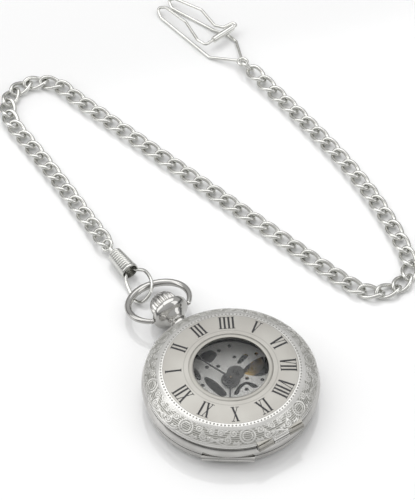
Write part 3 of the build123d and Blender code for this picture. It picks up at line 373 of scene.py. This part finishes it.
def enamel(name, code, rough, grain_mm):
    """Fired or lacquered colour with a fine orange-peel skin."""
    material, tree, shader, place = finish_named(name)
    grain = add(tree, "ShaderNodeTexNoise", {
        "Vector": place, "Scale": 1 / (grain_mm * MM), "Detail": 2.0}).outputs["Fac"]
    base = rgb(code)
    lighter = tuple(min(1.0, c * 1.5 + 0.006) for c in base[:3]) + (1.0,)
    colour = ramp(tree, grain, [(0.35, base), (0.75, lighter)])
    raised = add(tree, "ShaderNodeBump", {"Height": grain, "Strength": 0.12, "Distance": 0.00003}).outputs[0]
    tree.links.new(colour, shader.inputs["Base Color"])
    tree.links.new(raised, shader.inputs["Normal"])
    shader.inputs["Roughness"].default_value = rough
    return material


numeral_black = enamel("black_printed_enamel", "#17171A", 0.34, 0.2)
hand_black = enamel("black_lacquered_hands", "#0B0B0D", 0.5, 0.3)
chapter_dark = enamel("dark_satin_chapter_ring", "#4A4A4B", 0.45, 0.15)
ruby = enamel("synthetic_ruby", "#8E1027", 0.08, 0.3)


def crystal_glass():
    """Mineral crystal: clear, with a thin mirror-like film of reflection and the odd wiped smear."""
    material, tree, shader, place = finish_named("polished_mineral_crystal")
    smear = add(tree, "ShaderNodeTexNoise", {"Vector": place, "Scale": 90.0, "Detail": 2.0}).outputs["Fac"]
    rough = add(tree, "ShaderNodeMapRange", {0: smear, 1: 0.35, 2: 0.75, 3: 0.02, 4: 0.07}).outputs[0]
    tree.links.new(rough, shader.inputs["Roughness"])
    colour = ramp(tree, smear, [(0.3, rgb("#F4F6F6")), (0.8, rgb("#FFFFFF"))])
    tree.links.new(colour, shader.inputs["Base Color"])
    shader.inputs["Metallic"].default_value = 1.0
    shader.inputs["Alpha"].default_value = 0.012
    material.surface_render_method = "BLENDED"
    return material


crystal = crystal_glass()

slot_finish = {
    "case_plating": case_plate, "steel": ground_steel, "crystal": crystal, "movement_plate": spotted,
    "gilt_brass": gilt, "hairspring_steel": blued, "ruby": ruby, "chapter_print": chapter_dark,
    "black_hands": hand_black, "chain_plating": wire_plate,
}
for entry in frame["record"]["subparts"]:
    shown = nodes[entry["node"]]
    shown.data.materials.clear()
    finish = slot_finish[entry["material_slot"]]
    # painted shade: the main plate is made near black so the dial's windows read as shaded depth
    if entry["node"] == "main_plate":
        finish = shade_dark_main_plate
    # painted shade: the motion wheels are made dark grey so they read as the shaded depth under the dial
    if entry["node"] in ("minute_wheel", "hour_wheel", "cannon_pinion", "minute_pinion", "motion_wheel"):
        finish = shade_dark_motion_steel
    shown.data.materials.append(finish)


# ---------------------------------------------------------------- things that repeat
def repeated(name, places, turns, master, sizes, material):
    """Geometry Nodes: one copy of a master mesh at each place, turned about Z, as one plain mesh."""
    seed = bpy.data.meshes.new(name + "_places")
    seed.from_pydata([(x * MM, y * MM, z * MM) for x, y, z in places], [], [])
    turned_by = np.array(turns, np.float32).ravel()
    seed.attributes.new("turn", "FLOAT_VECTOR", "POINT").data.foreach_set("vector", turned_by)
    holder = bpy.data.objects.new(name + "_places", seed)
    bpy.context.scene.collection.objects.link(holder)
    tree = bpy.data.node_groups.new(name, "GeometryNodeTree")
    tree.interface.new_socket("Geometry", in_out="INPUT", socket_type="NodeSocketGeometry")
    size_socket = tree.interface.new_socket("Size", in_out="INPUT", socket_type="NodeSocketFloat")
    tree.interface.new_socket("Geometry", in_out="OUTPUT", socket_type="NodeSocketGeometry")
    entry = add(tree, "NodeGroupInput")
    shape = add(tree, "GeometryNodeObjectInfo", {"Object": master})
    turn = add(tree, "GeometryNodeInputNamedAttribute", {"Name": "turn"}, data_type="FLOAT_VECTOR")
    copies = add(tree, "GeometryNodeInstanceOnPoints", {
        "Points": entry.outputs["Geometry"], "Instance": shape.outputs["Geometry"],
        "Rotation": turn.outputs["Attribute"], "Scale": entry.outputs["Size"]})
    real = add(tree, "GeometryNodeRealizeInstances", {"Geometry": copies.outputs[0]})
    coated = add(tree, "GeometryNodeSetMaterial", {"Geometry": real.outputs[0], "Material": material})
    add(tree, "NodeGroupOutput", {"Geometry": coated.outputs[0]})
    modifier = holder.modifiers.new("copies", "NODES")
    modifier.node_group = tree
    modifier[size_socket.identifier] = sizes
    bpy.context.view_layer.update()
    evaluated = holder.evaluated_get(bpy.context.evaluated_depsgraph_get())
    mesh = bpy.data.meshes.new_from_object(evaluated)
    mesh.name = name
    for attribute in [a.name for a in mesh.attributes if a.name == "turn"]:
        mesh.attributes.remove(mesh.attributes[attribute])
    holder.modifiers.remove(modifier)
    bpy.data.objects.remove(holder)
    return mesh


def master_object(name, part):
    points, faces = part
    mesh = bpy.data.meshes.new(name)
    mesh.from_pydata([(x * MM, y * MM, z * MM) for x, y, z in points], [], faces)
    b = bmesh.new()
    b.from_mesh(mesh)
    bmesh.ops.remove_doubles(b, verts=b.verts[:], dist=1e-6)
    bmesh.ops.recalc_face_normals(b, faces=b.faces[:])
    b.to_mesh(mesh)
    b.free()
    made = bpy.data.objects.new(name, mesh)
    bpy.context.scene.collection.objects.link(made)
    return made


# ---------------------------------------------------------------- front cover
seat_r = window_r + 0.9
top_arc = arc_through((seat_r, cover_top_z), (15.0, 11.9), (shoulder_r, shoulder_z), 40)
top_r = [q[0] for q in top_arc]
top_z = [q[1] for q in top_arc]


def dial_z(r):
    """Height of the cover's dial ring at a radius."""
    return float(np.interp(r, top_r, top_z))


def spiral(x, y, r0, r1, start, turns, steps=26):
    return [polar(r0 + (r1 - r0) * k / steps, start + 360 * turns * k / steps, x, y) for k in range(steps + 1)]


def scrollwork(columns, rows, width, height):
    """Relief, 0 cut to 1 left proud, over one repeat: cartouche, paired scrolls, leaves, ruled ground."""
    x = np.linspace(0, width, columns, endpoint=False)
    y = np.linspace(0, height, rows)
    px, py = np.meshgrid(x, y)
    relief = np.zeros_like(px)
    mid = width / 2
    strokes = []
    for across_r, share, count, stroke_half in ((1.9, 0.33, 30, 0.17), (1.25, 0.20, 24, 0.10)):
        oval = [(mid + across_r * math.cos(t), height * 0.50 + height * share * math.sin(t))
                for t in np.linspace(0, 2 * math.pi, count)]
        strokes.append((oval, stroke_half))
    half = []
    half.append((spiral(mid + 3.5, height * 0.34, 1.15, 0.12, 200, 1.7), 0.16))
    half.append((spiral(mid + 5.1, height * 0.66, 1.05, 0.12, 40, 1.6), 0.16))
    half.append((spiral(mid + 6.9, height * 0.36, 0.95, 0.12, 180, 1.5), 0.15))
    half.append(([(mid + 1.6, height * 0.10), (mid + 2.6, height * 0.05), (mid + 4.0, height * 0.10),
                  (mid + 5.2, height * 0.22), (mid + 6.1, height * 0.30)], 0.14))
    half.append(([(mid + 1.9, height * 0.82), (mid + 2.9, height * 0.92), (mid + 4.2, height * 0.95),
                  (mid + 6.0, height * 0.90), (mid + 7.4, height * 0.80), (mid + 8.2, height * 0.70)], 0.14))
    for cx, cy, tilt, size in ((2.3, 0.72, 60, 1.0), (4.4, 0.52, -30, 0.8), (6.1, 0.62, 35, 0.9), (5.6, 0.12, 20, 0.8),
                               (7.3, 0.62, 70, 0.8), (3.4, 0.72, 100, 0.7), (7.6, 0.14, 130, 0.7)):
        for fan in (-0.6, -0.2, 0.2, 0.6):
            a = math.radians(tilt) + fan
            root = (mid + cx, height * cy)
            tip = (root[0] + size * math.cos(a), root[1] + size * math.sin(a))
            half.append(([root, tip], 0.10))
    strokes += half + [([(2 * mid - qx, qy) for qx, qy in line], w) for line, w in half]
    for line, half_width in strokes:
        for (ax, ay), (bx, by) in zip(line[:-1], line[1:]):
            for shift in (-width, 0, width):
                dx, dy = bx - ax, by - ay
                length = dx * dx + dy * dy + 1e-9
                t = np.clip(((px - ax - shift) * dx + (py - ay) * dy) / length, 0, 1)
                d = np.hypot(px - ax - shift - t * dx, py - ay - t * dy)
                relief = np.maximum(relief, np.clip(1.7 - d / half_width, 0, 1))
    ruled = 0.55 * np.clip(0.5 + 0.9 * np.cos(2 * math.pi * py / 0.52), 0, 1)
    return np.maximum(relief, ruled)


def make_front_cover():
    segments = 1040
    repeats = 8
    border = arc_through((shoulder_r, shoulder_z), (21.5, 9.75), (rim_r, 8.15), 64)
    inner = [(rim_r, 7.75), (rim_r - 0.05, 7.62), (rim_r - 0.35, 7.5), (rim_r - 0.45, band_top + seam)]
    inner += [(rim_r - 0.7, band_top + seam), (rim_r - 0.7, 7.85)]
    inner += arc_through((rim_r - 0.7, 7.85), (21.0, 9.2), (shoulder_r - 0.3, shoulder_z - 0.7), 8)[1:]
    inner += arc_through((shoulder_r - 0.3, shoulder_z - 0.7), (15.0, 11.2), (seat_r, cover_top_z - 0.7), 6)[1:]
    crown_line = top_arc[::4]
    section = inner + crown_line + border[1:]
    radius = np.array([q[0] for q in section])
    height = np.array([q[1] for q in section])
    rows = len(section)
    first = len(inner) + len(crown_line) - 1
    relief = np.ones((rows, segments))
    columns = segments // repeats
    lengths = np.hypot(np.diff(radius[first:]), np.diff(height[first:]))
    run = np.concatenate([[0], np.cumsum(lengths)])
    span = 2 * math.pi * 20.7 / repeats
    tile = scrollwork(columns, len(run), span, run[-1])
    band = np.tile(tile, (1, repeats))
    low_edge, high_edge = 0.85, run[-1] - 0.45
    inside = np.clip((run - low_edge) / 0.12, 0, 1) * np.clip((high_edge - run) / 0.12, 0, 1)
    relief[first:] = 1 - inside[:, None] * (1 - band)
    angle = np.linspace(0, 2 * math.pi, segments, endpoint=False)
    slope = np.zeros((rows, 2))
    step_r, step_z = np.gradient(radius[first:]), np.gradient(height[first:])
    norm = np.hypot(step_r, step_z)
    slope[first:, 0], slope[first:, 1] = -step_z / norm, step_r / norm
    drop = 0.10 * (1 - relief)
    r = radius[:, None] - slope[:, :1] * drop
    z = height[:, None] - slope[:, 1:] * drop
    points = np.stack([r * np.cos(angle), r * np.sin(angle), np.broadcast_to(z, r.shape)], -1).reshape(-1, 3)
    faces = grid_faces(rows, segments, wrap_rows=True)
    return piece("engraved_front_cover", ([tuple(q) for q in points], faces), cover_finish, "front_lid",
                 ("front_cover",), crease=40.0, attributes={"relief": relief.ravel()})


cover = make_front_cover()


def knuckle(y0, y1, angle, z):
    """Hinge barrel piece with softened ends, about the pin's line."""
    soft = 0.07
    part = turned([(0.32, y0), (knuckle_r - soft, y0), (knuckle_r, y0 + soft), (knuckle_r, y1 - soft),
                   (knuckle_r - soft, y1), (0.32, y1)], 40)
    lay = Matrix.Rotation(math.radians(angle), 4, "Z") @ Matrix.Translation((hinge_r, 0, z)) @ Matrix.Rotation(
        -math.pi / 2, 4, "X")
    return placed(part, lay)


def web(y0, y1, angle, z, up):
    near, far = (0.65, 1.33)
    z0, z1 = (z + near, z + far) if up > 0 else (z - far, z - near)
    lay = Matrix.Rotation(math.radians(angle), 4, "Z")
    return placed(block(hinge_r - 1.4, hinge_r - 0.1, y0, y1, z0, z1, 0.05), lay)


front_z = band_top + seam / 2
outer_spans = ((-hinge_half, -middle_half - knuckle_gap), (middle_half + knuckle_gap, hinge_half))
parts = []
for y0, y1 in outer_spans:
    parts += [knuckle(y0, y1, 180, front_z), web(y0, y1, 180, front_z, 1)]
piece("front_lid_knuckles", joined(*parts), ring_satin, "front_lid", ("front_cover",))

# beads around the dial ring's edge
bead = master_object("bead", turned([(0.001, -1), (0.5, -0.87), (0.87, -0.5), (1.0, 0), (0.87, 0.5), (0.5, 0.87),
                                     (0.001, 1)], 8, closed=False))
bead_mesh = repeated("beaded_edge", [(*polar(18.35, k * 3.0), dial_z(18.35) - 0.02) for k in range(120)],
                     [(0, 0, 0)] * 120, bead, 0.26, case_plate)
dress("beaded_edge", bead_mesh, case_plate, "front_lid")

# ---------------------------------------------------------------- numerals
thick, thin, serif, tall = 0.52, 0.17, 0.15, 4.3


def stroke(x0, y0, x1, y1, width):
    """Upright or slanted bar whose ends are level, cut into short lengths so that it follows the dome."""
    out = []
    for k in range(6):
        a, b = k / 6, (k + 1) / 6
        xa, xb = x0 + (x1 - x0) * a, x0 + (x1 - x0) * b
        ya, yb = y0 + (y1 - y0) * a, y0 + (y1 - y0) * b
        out.append([(xa - width / 2, ya), (xa + width / 2, ya), (xb + width / 2, yb), (xb - width / 2, yb)])
    return out


def letter(kind, x):
    """Quads of one numeral letter from x on, and how wide it is."""
    h = tall / 2
    if kind == "I":
        w = 1.0
        c = x + w / 2
        quads = stroke(c, -h, c, h, thick)
        feet = [(c, -h), (c, h)]
        half = 0.48
    elif kind == "V":
        w = 2.0
        quads = stroke(x + 0.42, h, x + 1.06, -h, thick) + stroke(x + 1.72, h, x + 1.10, -h, thin)
        feet = [(x + 0.42, h), (x + 1.72, h)]
        half = 0.46
    else:
        w = 2.1
        quads = stroke(x + 0.42, h, x + 1.68, -h, thick) + stroke(x + 1.70, h, x + 0.40, -h, thin)
        feet = [(x + 0.42, h), (x + 1.68, h), (x + 0.42, -h), (x + 1.68, -h)]
        half = 0.46
    for fx, fy in feet:
        inward = -serif if fy > 0 else serif
        y0, y1 = sorted((fy, fy + inward))
        quads.append([(fx - half, y0), (fx + half, y0), (fx + half, y1), (fx - half, y1)])
    return quads, w


def make_numerals():
    hours = ["XII", "I", "II", "III", "IIII", "V", "VI", "VII", "VIII", "IX", "X", "XI"]
    middle = 15.05
    parts = []
    for k, word in enumerate(hours):
        angle = math.radians(90 - 30 * k)
        out = (math.cos(angle), math.sin(angle))
        right = (math.sin(angle), -math.cos(angle))
        glyphs, x = [], 0.0
        for kind in word:
            quads, w = letter(kind, x)
            glyphs += quads
            x += w + 0.12
        width = x - 0.12
        for number, quad in enumerate(glyphs):
            points = []
            lift = 0.045 + 0.002 * (number % 7)
            for top in (-0.05, lift):
                for gx, gy in quad:
                    dx, dr = gx - width / 2, middle + gy
                    px, py = out[0] * dr + right[0] * dx, out[1] * dr + right[1] * dx
                    points.append((px, py, dial_z(math.hypot(px, py)) + top))
            parts.append((points, [(0, 1, 2, 3), (4, 5, 6, 7), (0, 1, 5, 4), (1, 2, 6, 5), (2, 3, 7, 6), (3, 0, 4, 7)]))
    return joined(*parts)


numerals = piece("hour_numerals", make_numerals(), numeral_black, "front_lid", crease=20.0)

# ---------------------------------------------------------------- window bezel
bezel = [(window_r, cover_top_z - 0.1), (window_r, cover_top_z + 0.08)]
bezel += arc_through((window_r, cover_top_z + 0.08), (window_r + 0.5, cover_top_z + 0.18),
                     (seat_r + 0.35, cover_top_z + 0.03), 8)
bezel += [(seat_r, cover_top_z), (seat_r, cover_top_z - 0.9), (window_r + 0.25, cover_top_z - 0.9),
          (window_r + 0.25, cover_top_z - 0.1)]
piece("window_ring", turned(bezel, 360), ring_satin, "front_lid", ("window_bezel",))

# ---------------------------------------------------------------- skeleton dial
dial_openings = (
    ((0.66, -4.07), (1.77, -6.17), (2.26, -9.21), (1.78, -12.03), (-0.62, -11.8), (-3.17, -9.75), (-2.97, -7.38),
     (-1.34, -5.37)),
    ((4.27, -4.97), (5.47, -7.82), (4.36, -8.63), (3.37, -5.48)),
    ((8.84, 5.55), (6.46, 5.37), (4.82, 6.25), (5.44, 7.16), (7.29, 6.59)),
    ((4.87, 4.66), (3.47, 3.83), (1.1, 3.21), (-2.8, 3.2), (-2.73, 4.93), (1.19, 5.82), (4.31, 5.49)),
    ((-3.82, 1.68), (-2.36, -1.09), (-2.44, -3.27), (-4.24, -4.71), (-5.51, -4.94), (-5.17, -3.62), (-3.3, -2.9),
     (-3.43, -1.03), (-4.62, 0.9)),
    ((11.51, 1.98), (11.62, -1.23), (9.41, -1.98), (8.11, 1.14)),
    ((-8.6, 2.6), (-6.3, 3.1), (-5.9, 5.9), (-7.9, 7.4), (-10.2, 5.6)),
    ((-10.6, -3.4), (-7.9, -3.0), (-7.0, -5.6), (-8.9, -7.9), (-11.2, -6.2)),
    ((5.9, 9.9), (8.6, 8.2), (9.9, 9.6), (7.6, 11.6)),
    ((-2.4, 8.2), (1.6, 8.6), (1.3, 11.4), (-2.9, 11.0)),
)
screw_holes = ((6.12, -5.34), (9.88, -6.34), (10.19, -3.18), (3.8, -10.72), (-1.59, -4.08), (-4.23, -7.17),
               (-4.5, -1.95), (2.98, 6.9), (5.91, -0.05), (2.83, -3.76), (7.3, 2.6), (-6.2, 8.6), (3.2, 8.3))


def closed_through(points, steps):
    """Smooth closed line through points."""
    line = []
    n = len(points)
    for i in range(n):
        a, b, c, d = (Vector(points[(i + k) % n]) for k in (-1, 0, 1, 2))
        for k in range(steps):
            t = k / steps
            line.append(tuple(0.5 * (2 * b + (c - a) * t + (2 * a - 5 * b + 4 * c - d) * t * t
                                     + (3 * b - a - 3 * c + d) * t * t * t)))
    return line


def skeleton_dial():
    """Thin plate with its windows and screw holes pierced, filled from flat outlines."""
    outline = bpy.data.curves.new("dial_outline", "CURVE")
    outline.dimensions = "2D"
    outline.fill_mode = "BOTH"
    outline.extrude = 0.045 * MM
    loops = [[polar(17.4, a) for a in range(0, 360, 2)], [polar(1.35, a) for a in range(0, 360, 12)]]
    loops += [closed_through(q, 8) for q in dial_openings]
    loops += [[polar(0.55, a, *q) for a in range(0, 360, 15)] for q in screw_holes]
    for loop in loops:
        line = outline.splines.new("POLY")
        line.points.add(len(loop) - 1)
        for point, (px, py) in zip(line.points, loop):
            point.co = (px * MM, py * MM, 0, 1)
        line.use_cyclic_u = True
    holder = bpy.data.objects.new("dial_outline", outline)
    bpy.context.scene.collection.objects.link(holder)
    bpy.context.view_layer.update()
    mesh = bpy.data.meshes.new_from_object(holder.evaluated_get(bpy.context.evaluated_depsgraph_get()))
    bpy.data.objects.remove(holder)
    points = [(v.co.x / MM, v.co.y / MM, v.co.z / MM + 6.16) for v in mesh.vertices]
    faces = [tuple(f.vertices) for f in mesh.polygons]
    bpy.data.meshes.remove(mesh)
    return points, faces


piece("skeleton_dial", skeleton_dial(), spotted, "case")

# ---------------------------------------------------------------- crown
def make_crown():
    base = 30.0
    section = [(1.55, 0.0), (3.3, 0.0), (3.55, 0.08), (3.75, 0.3), (3.88, 0.8), (3.92, 1.4), (3.88, 2.0), (3.78, 2.6),
               (3.6, 3.1), (3.32, 3.62), (2.9, 4.15), (2.35, 4.58), (1.7, 4.92), (1.0, 5.16), (0.45, 5.26),
               (0.001, 5.3)]
    fine = curve_through(section[2:], 4)
    section = section[:2] + fine
    ribs = 18
    segments = ribs * 16
    points = []
    for r, h in section:
        deep = 0.52 * min(1.0, max(0.0, (r - 0.8) / 2.0)) * min(1.0, max(0.0, (h - 0.05) / 0.3))
        for k in range(segments):
            a = 2 * math.pi * k / segments
            groove = (0.5 + 0.5 * math.cos(ribs * a)) ** 1.6
            points.append(((r - deep * groove) * math.cos(a), (r - deep * groove) * math.sin(a), base + h))
    faces = grid_faces(len(section), segments)
    hollow = turned([(1.55, base), (1.55, base + 2.9), (0.001, base + 2.9)], segments, closed=False)
    points, faces = joined((points, faces), hollow)
    return along_stem(points), faces


piece("fluted_crown", make_crown(), case_plate, "winder", ("crown",), crease=50.0)

# ---------------------------------------------------------------- pendant
pendant = [(0.75, 20.6), (1.78, 20.6), (1.78, 23.4), (2.1, 23.5), (2.1, 24.0)]
pendant += curve_through([(2.1, 24.0), (1.85, 24.25), (2.35, 24.65), (2.35, 24.85), (2.0, 25.15), (2.45, 25.6),
                          (2.8, 25.95), (3.5, 26.7), (4.4, 27.3), (5.05, 27.9), (5.28, 28.5), (5.28, 29.2),
                          (5.1, 29.55), (4.7, 29.68)], 5)
pendant += [(1.35, 29.5), (1.35, 32.2), (0.75, 32.2)]
points, faces = turned(pendant, 160)
piece("ringed_pendant", (along_stem(points), faces), case_plate, "case", ("pendant",), crease=50.0)

# ---------------------------------------------------------------- bow
def make_bow():
    droop = math.radians(12.5)
    centre_u, half_length, half_width = 5.75, 7.75, 8.6
    start = math.acos(-centre_u / half_length)
    turns = np.linspace(-start, start, 90)
    path = [(centre_u + half_length * math.cos(t), half_width * math.sin(t), 0) for t in turns]
    share = np.abs(np.linspace(-1, 1, 90))
    radii = 1.02 - 0.36 * share ** 2.5
    wire = tube(path, radii, 20, flatten=1.0)
    boss_section = [(0.001, 5.4), (0.5, 5.4), (0.68, 5.5), (0.7, 5.8), (0.62, 6.2), (0.001, 6.3)]
    parts = [wire]
    for side in (-1, 1):
        for section, sides in ((boss_section, 28), ([(0.001, 4.35), (0.44, 4.35), (0.44, 5.8), (0.001, 5.8)], 20)):
            p, f = turned(section, sides, closed=False)
            parts.append(([(x, side * z, y) for x, y, z in p], f))
    lay = Matrix.Translation((28.8, 0, stem_z)) @ Matrix.Rotation(droop, 4, "Y")
    return placed(joined(*parts), lay)


piece("wire_bow", make_bow(), case_plate, "bow_ring", ("bow",), crease=50.0)

# ---------------------------------------------------------------- clasp
clasp_z = 2.45
bow_far_x = 28.8 + 13.5 * math.cos(math.radians(12.5))
bow_far_z = stem_z - 13.5 * math.sin(math.radians(12.5))


def make_hook():
    x, z = bow_far_x, bow_far_z
    over, under = z + 1.7, 0.58
    route = [(51.5, -1.2, clasp_z), (48.8, -1.45, clasp_z + 0.3), (45.8, -3.0, over - 0.4), (x - 0.4, -2.3, over),
             (x - 2.9, -0.4, over - 1.0), (x - 3.3, 2.3, 1.5), (x - 1.6, 3.5, under), (x + 1.2, 3.2, under),
             (x + 4.6, 2.5, under + 0.7), (48.8, 1.45, clasp_z - 0.3), (51.5, 1.2, clasp_z)]
    loop = tube(curve_through(route, 12), 0.5, 16)
    shaft = turned([(0.001, 51.2), (1.6, 51.2), (1.74, 51.35), (1.74, 51.8), (1.6, 51.9), (0.75, 51.9), (0.75, 56.2),
                    (1.2, 56.2), (1.3, 56.3), (1.3, 56.8), (1.2, 56.9), (0.7, 56.9), (0.6, 58.9), (0.001, 59.0)], 40,
                   closed=False)
    lie = Matrix(((0, 0, 1, 0), (0, 1, 0, 0), (-1, 0, 0, clasp_z), (0, 0, 0, 1)))
    bent = [(60.4 + 1.55 * math.cos(t), 1.55 * math.sin(t), 0)
            for t in np.linspace(0, 2 * math.pi, 40, endpoint=False)]
    eye = tube(bent, 0.45, 14, closed=True)
    turn = Matrix.Translation((0, 0, clasp_z)) @ Matrix.Rotation(math.radians(-38), 4, "X")
    return joined(loop, placed(shaft, lie), placed(eye, turn))


piece("clasp_wire_and_shank", make_hook(), wire_plate, "clasp", ("clasp_hook",), crease=50.0)


def make_sleeve():
    x0, x1 = 48.6, 56.6
    outer = [(2.40, x0), (2.55, x0 + 0.12), (2.58, x0 + 0.7)]
    ribs, fine = 9, 10
    first, last = x0 + 0.8, x1 - 0.3
    for k in range(ribs * fine + 1):
        x = first + (last - first) * k / (ribs * fine)
        local = 2.55 - 0.5 * (x - x0) / 8.0
        outer.append((local - 0.24 * (0.5 - 0.5 * math.cos(2 * math.pi * k / fine)) ** 3, x))
    section = outer + [(2.0, x1 - 0.1), (1.85, x1), (1.5, x1), (1.5, 52.6), (0.79, 52.6), (0.79, 52.0), (1.75, 52.0),
                       (2.2, x0)]
    points, faces = turned(section, 72)
    return [(z, y, clasp_z + 0.15 - x) for x, y, z in points], faces


piece("ribbed_sleeve", make_sleeve(), wire_plate, "sleeve", ("clasp_sleeve",), crease=50.0)

# ---------------------------------------------------------------- curb chain
link_length, link_width, link_wire, link_twist = 8.0, 5.1, 1.15, -38.0
chain_z = 1.26


def link_line(count):
    a, b = (link_length - link_wire) / 2, (link_width - link_wire) / 2
    tilt = math.radians(link_twist)
    line = []
    for k in range(count):
        t = 2 * math.pi * k / count
        w = tilt * math.cos(t)
        line.append((a * math.cos(t), b * math.sin(t) * math.cos(w), b * math.sin(t) * math.sin(w)))
    return line


link = master_object("link", tube(link_line(40), link_wire / 2, 12, closed=True))
chain_runs = ((10, 0.5, 4.9), (2, -14.0, 4.6), (5, -28.5, 4.65), (2, 2.0, 5.1), (18, 0.0, 5.03), (2, 3.0, 4.9),
              (5, 28.5, 4.8), (3, 2.5, 5.1), (6, 1.8, 5.1), (7, 0.6, 5.05))
x, y, heading = 63.5, -0.4, -5.0
places = [(x, y, heading)]
for count, turn, pitch in chain_runs:
    for _ in range(count):
        x, y = polar(pitch, heading + turn / 2, x, y)
        heading += turn
        places.append((x, y, heading))
lifts = [0.65, 0.25] + [0.0] * (len(places) - 4) + [0.3, 0.6]
start = 0
for number, end in enumerate((11, 18, 29, 39, 46, 61), 1):
    run = places[start:end]
    spots = [(px, py, chain_z + lifts[start + k]) for k, (px, py, _) in enumerate(run)]
    headings = [(0, 0, math.radians(h)) for _, _, h in run]
    mesh = repeated(f"curb_links_{number}", spots, headings, link, 1.0, wire_plate)
    dress(f"curb_links_{number}", mesh, wire_plate, f"run_{number}", (f"chain_run_{number}",), crease=60.0)
    start = end
bpy.data.objects.remove(link)

ring_x, ring_y = polar(4.2, heading, x, y)
ring_line = [(2.1 * math.cos(t), 2.1 * math.sin(t), 0) for t in np.linspace(0, 2 * math.pi, 48, endpoint=False)]
ring_z, ring_lean = 2.109, math.radians(50)
lay = Matrix.Translation((ring_x, ring_y, ring_z)) @ Matrix.Rotation(math.radians(heading), 4, "Z")
lay = lay @ Matrix.Rotation(ring_lean, 4, "X")
piece("jump_ring", placed(tube(ring_line, 0.47, 16, closed=True), lay), wire_plate, "end_ring", ("clip_ring",),
      crease=60.0)
bpy.data.objects.remove(bead)

# ---------------------------------------------------------------- floor, light, camera
def make_floor():
    mesh = bpy.data.meshes.new("table")
    s = 3.0
    low = -0.00001
    mesh.from_pydata([(-s, -s, low), (s, -s, low), (s, s, low), (-s, s, low)], [], [(0, 1, 2, 3)])
    material, tree, shader, place = finish_named("white_gloss_table")
    cloud = add(tree, "ShaderNodeTexNoise", {"Vector": place, "Scale": 4.0, "Detail": 2.0}).outputs["Fac"]
    colour = ramp(tree, cloud, [(0.3, rgb("#FAFAFA")), (0.7, rgb("#FDFDFD"))])
    tree.links.new(colour, shader.inputs["Base Color"])
    shader.inputs["Roughness"].default_value = 0.09
    shader.inputs["Specular IOR Level"].default_value = 0.9
    mesh.materials.append(material)
    floor = bpy.data.objects.new("table", mesh)
    bpy.context.scene.collection.objects.link(floor)


make_floor()


def soft_box(name, place, aim, size, power):
    lamp = bpy.data.lights.new(name, "AREA")
    lamp.shape = "RECTANGLE"
    lamp.size, lamp.size_y = size
    lamp.energy = power
    holder = bpy.data.objects.new(name, lamp)
    bpy.context.scene.collection.objects.link(holder)
    holder.location = place
    holder.rotation_euler = (Vector(aim) - Vector(place)).to_track_quat("-Z", "Y").to_euler()


turn = math.radians(124)
across = Vector((math.cos(turn), -math.sin(turn), 0))
away = Vector((math.sin(turn), math.cos(turn), 0))
upward = Vector((0, 0, 1))


def from_view(x, y, z):
    """Point given as metres to the right of, away from and above the watch, as the camera sees it."""
    return across * x + away * y + upward * z


aim = from_view(0, 0.05, 0)
soft_box("softbox_over", from_view(-0.1, 0.35, 0.75), aim, (0.9, 0.7), 2.5)
soft_box("softbox_left", from_view(-0.75, 0.0, 0.45), aim, (0.5, 0.8), 1.4)
soft_box("softbox_right", from_view(0.7, -0.2, 0.5), aim, (0.35, 0.7), 0.8)

world = bpy.data.worlds.new("white_room")
bpy.context.scene.world = world
world.use_nodes = True
tree = world.node_tree
tree.nodes.clear()
direction = add(tree, "ShaderNodeTexCoord").outputs["Generated"]
up_part = add(tree, "ShaderNodeSeparateXYZ", {0: direction}).outputs[2]
sky = ramp(tree, up_part, [(0.0, (0.45,)), (0.06, (0.05,)), (0.14, (0.30,)), (0.3, (0.70,)), (1.0, (0.85,))])
back = add(tree, "ShaderNodeBackground", {"Color": sky, "Strength": 0.8})
add(tree, "ShaderNodeOutputWorld", {"Surface": back.outputs[0]})

tilt = math.radians(49.62)
focal_px, distance = 2564.14, 0.6779
origin_px = (230.56, 395.39)
look = away * math.cos(tilt) - upward * math.sin(tilt)
rise = away * math.sin(tilt) + upward * math.cos(tilt)
ray = look + across * ((origin_px[0] - 207.5) / focal_px) - rise * ((origin_px[1] - 250.0) / focal_px)
spot = -ray.normalized() * distance
lens = bpy.data.cameras.new("camera")
lens.sensor_fit = "VERTICAL"
lens.sensor_height = 24.0
lens.lens = 24.0 * focal_px / 500.0
lens.clip_start = 0.01
camera = bpy.data.objects.new("camera", lens)
bpy.context.scene.collection.objects.link(camera)
facing = Matrix((across, rise, -look)).transposed().to_4x4()
camera.matrix_world = Matrix.Translation(spot) @ facing
bpy.context.scene.camera = camera
bpy.context.scene.view_settings.view_transform = "Standard"
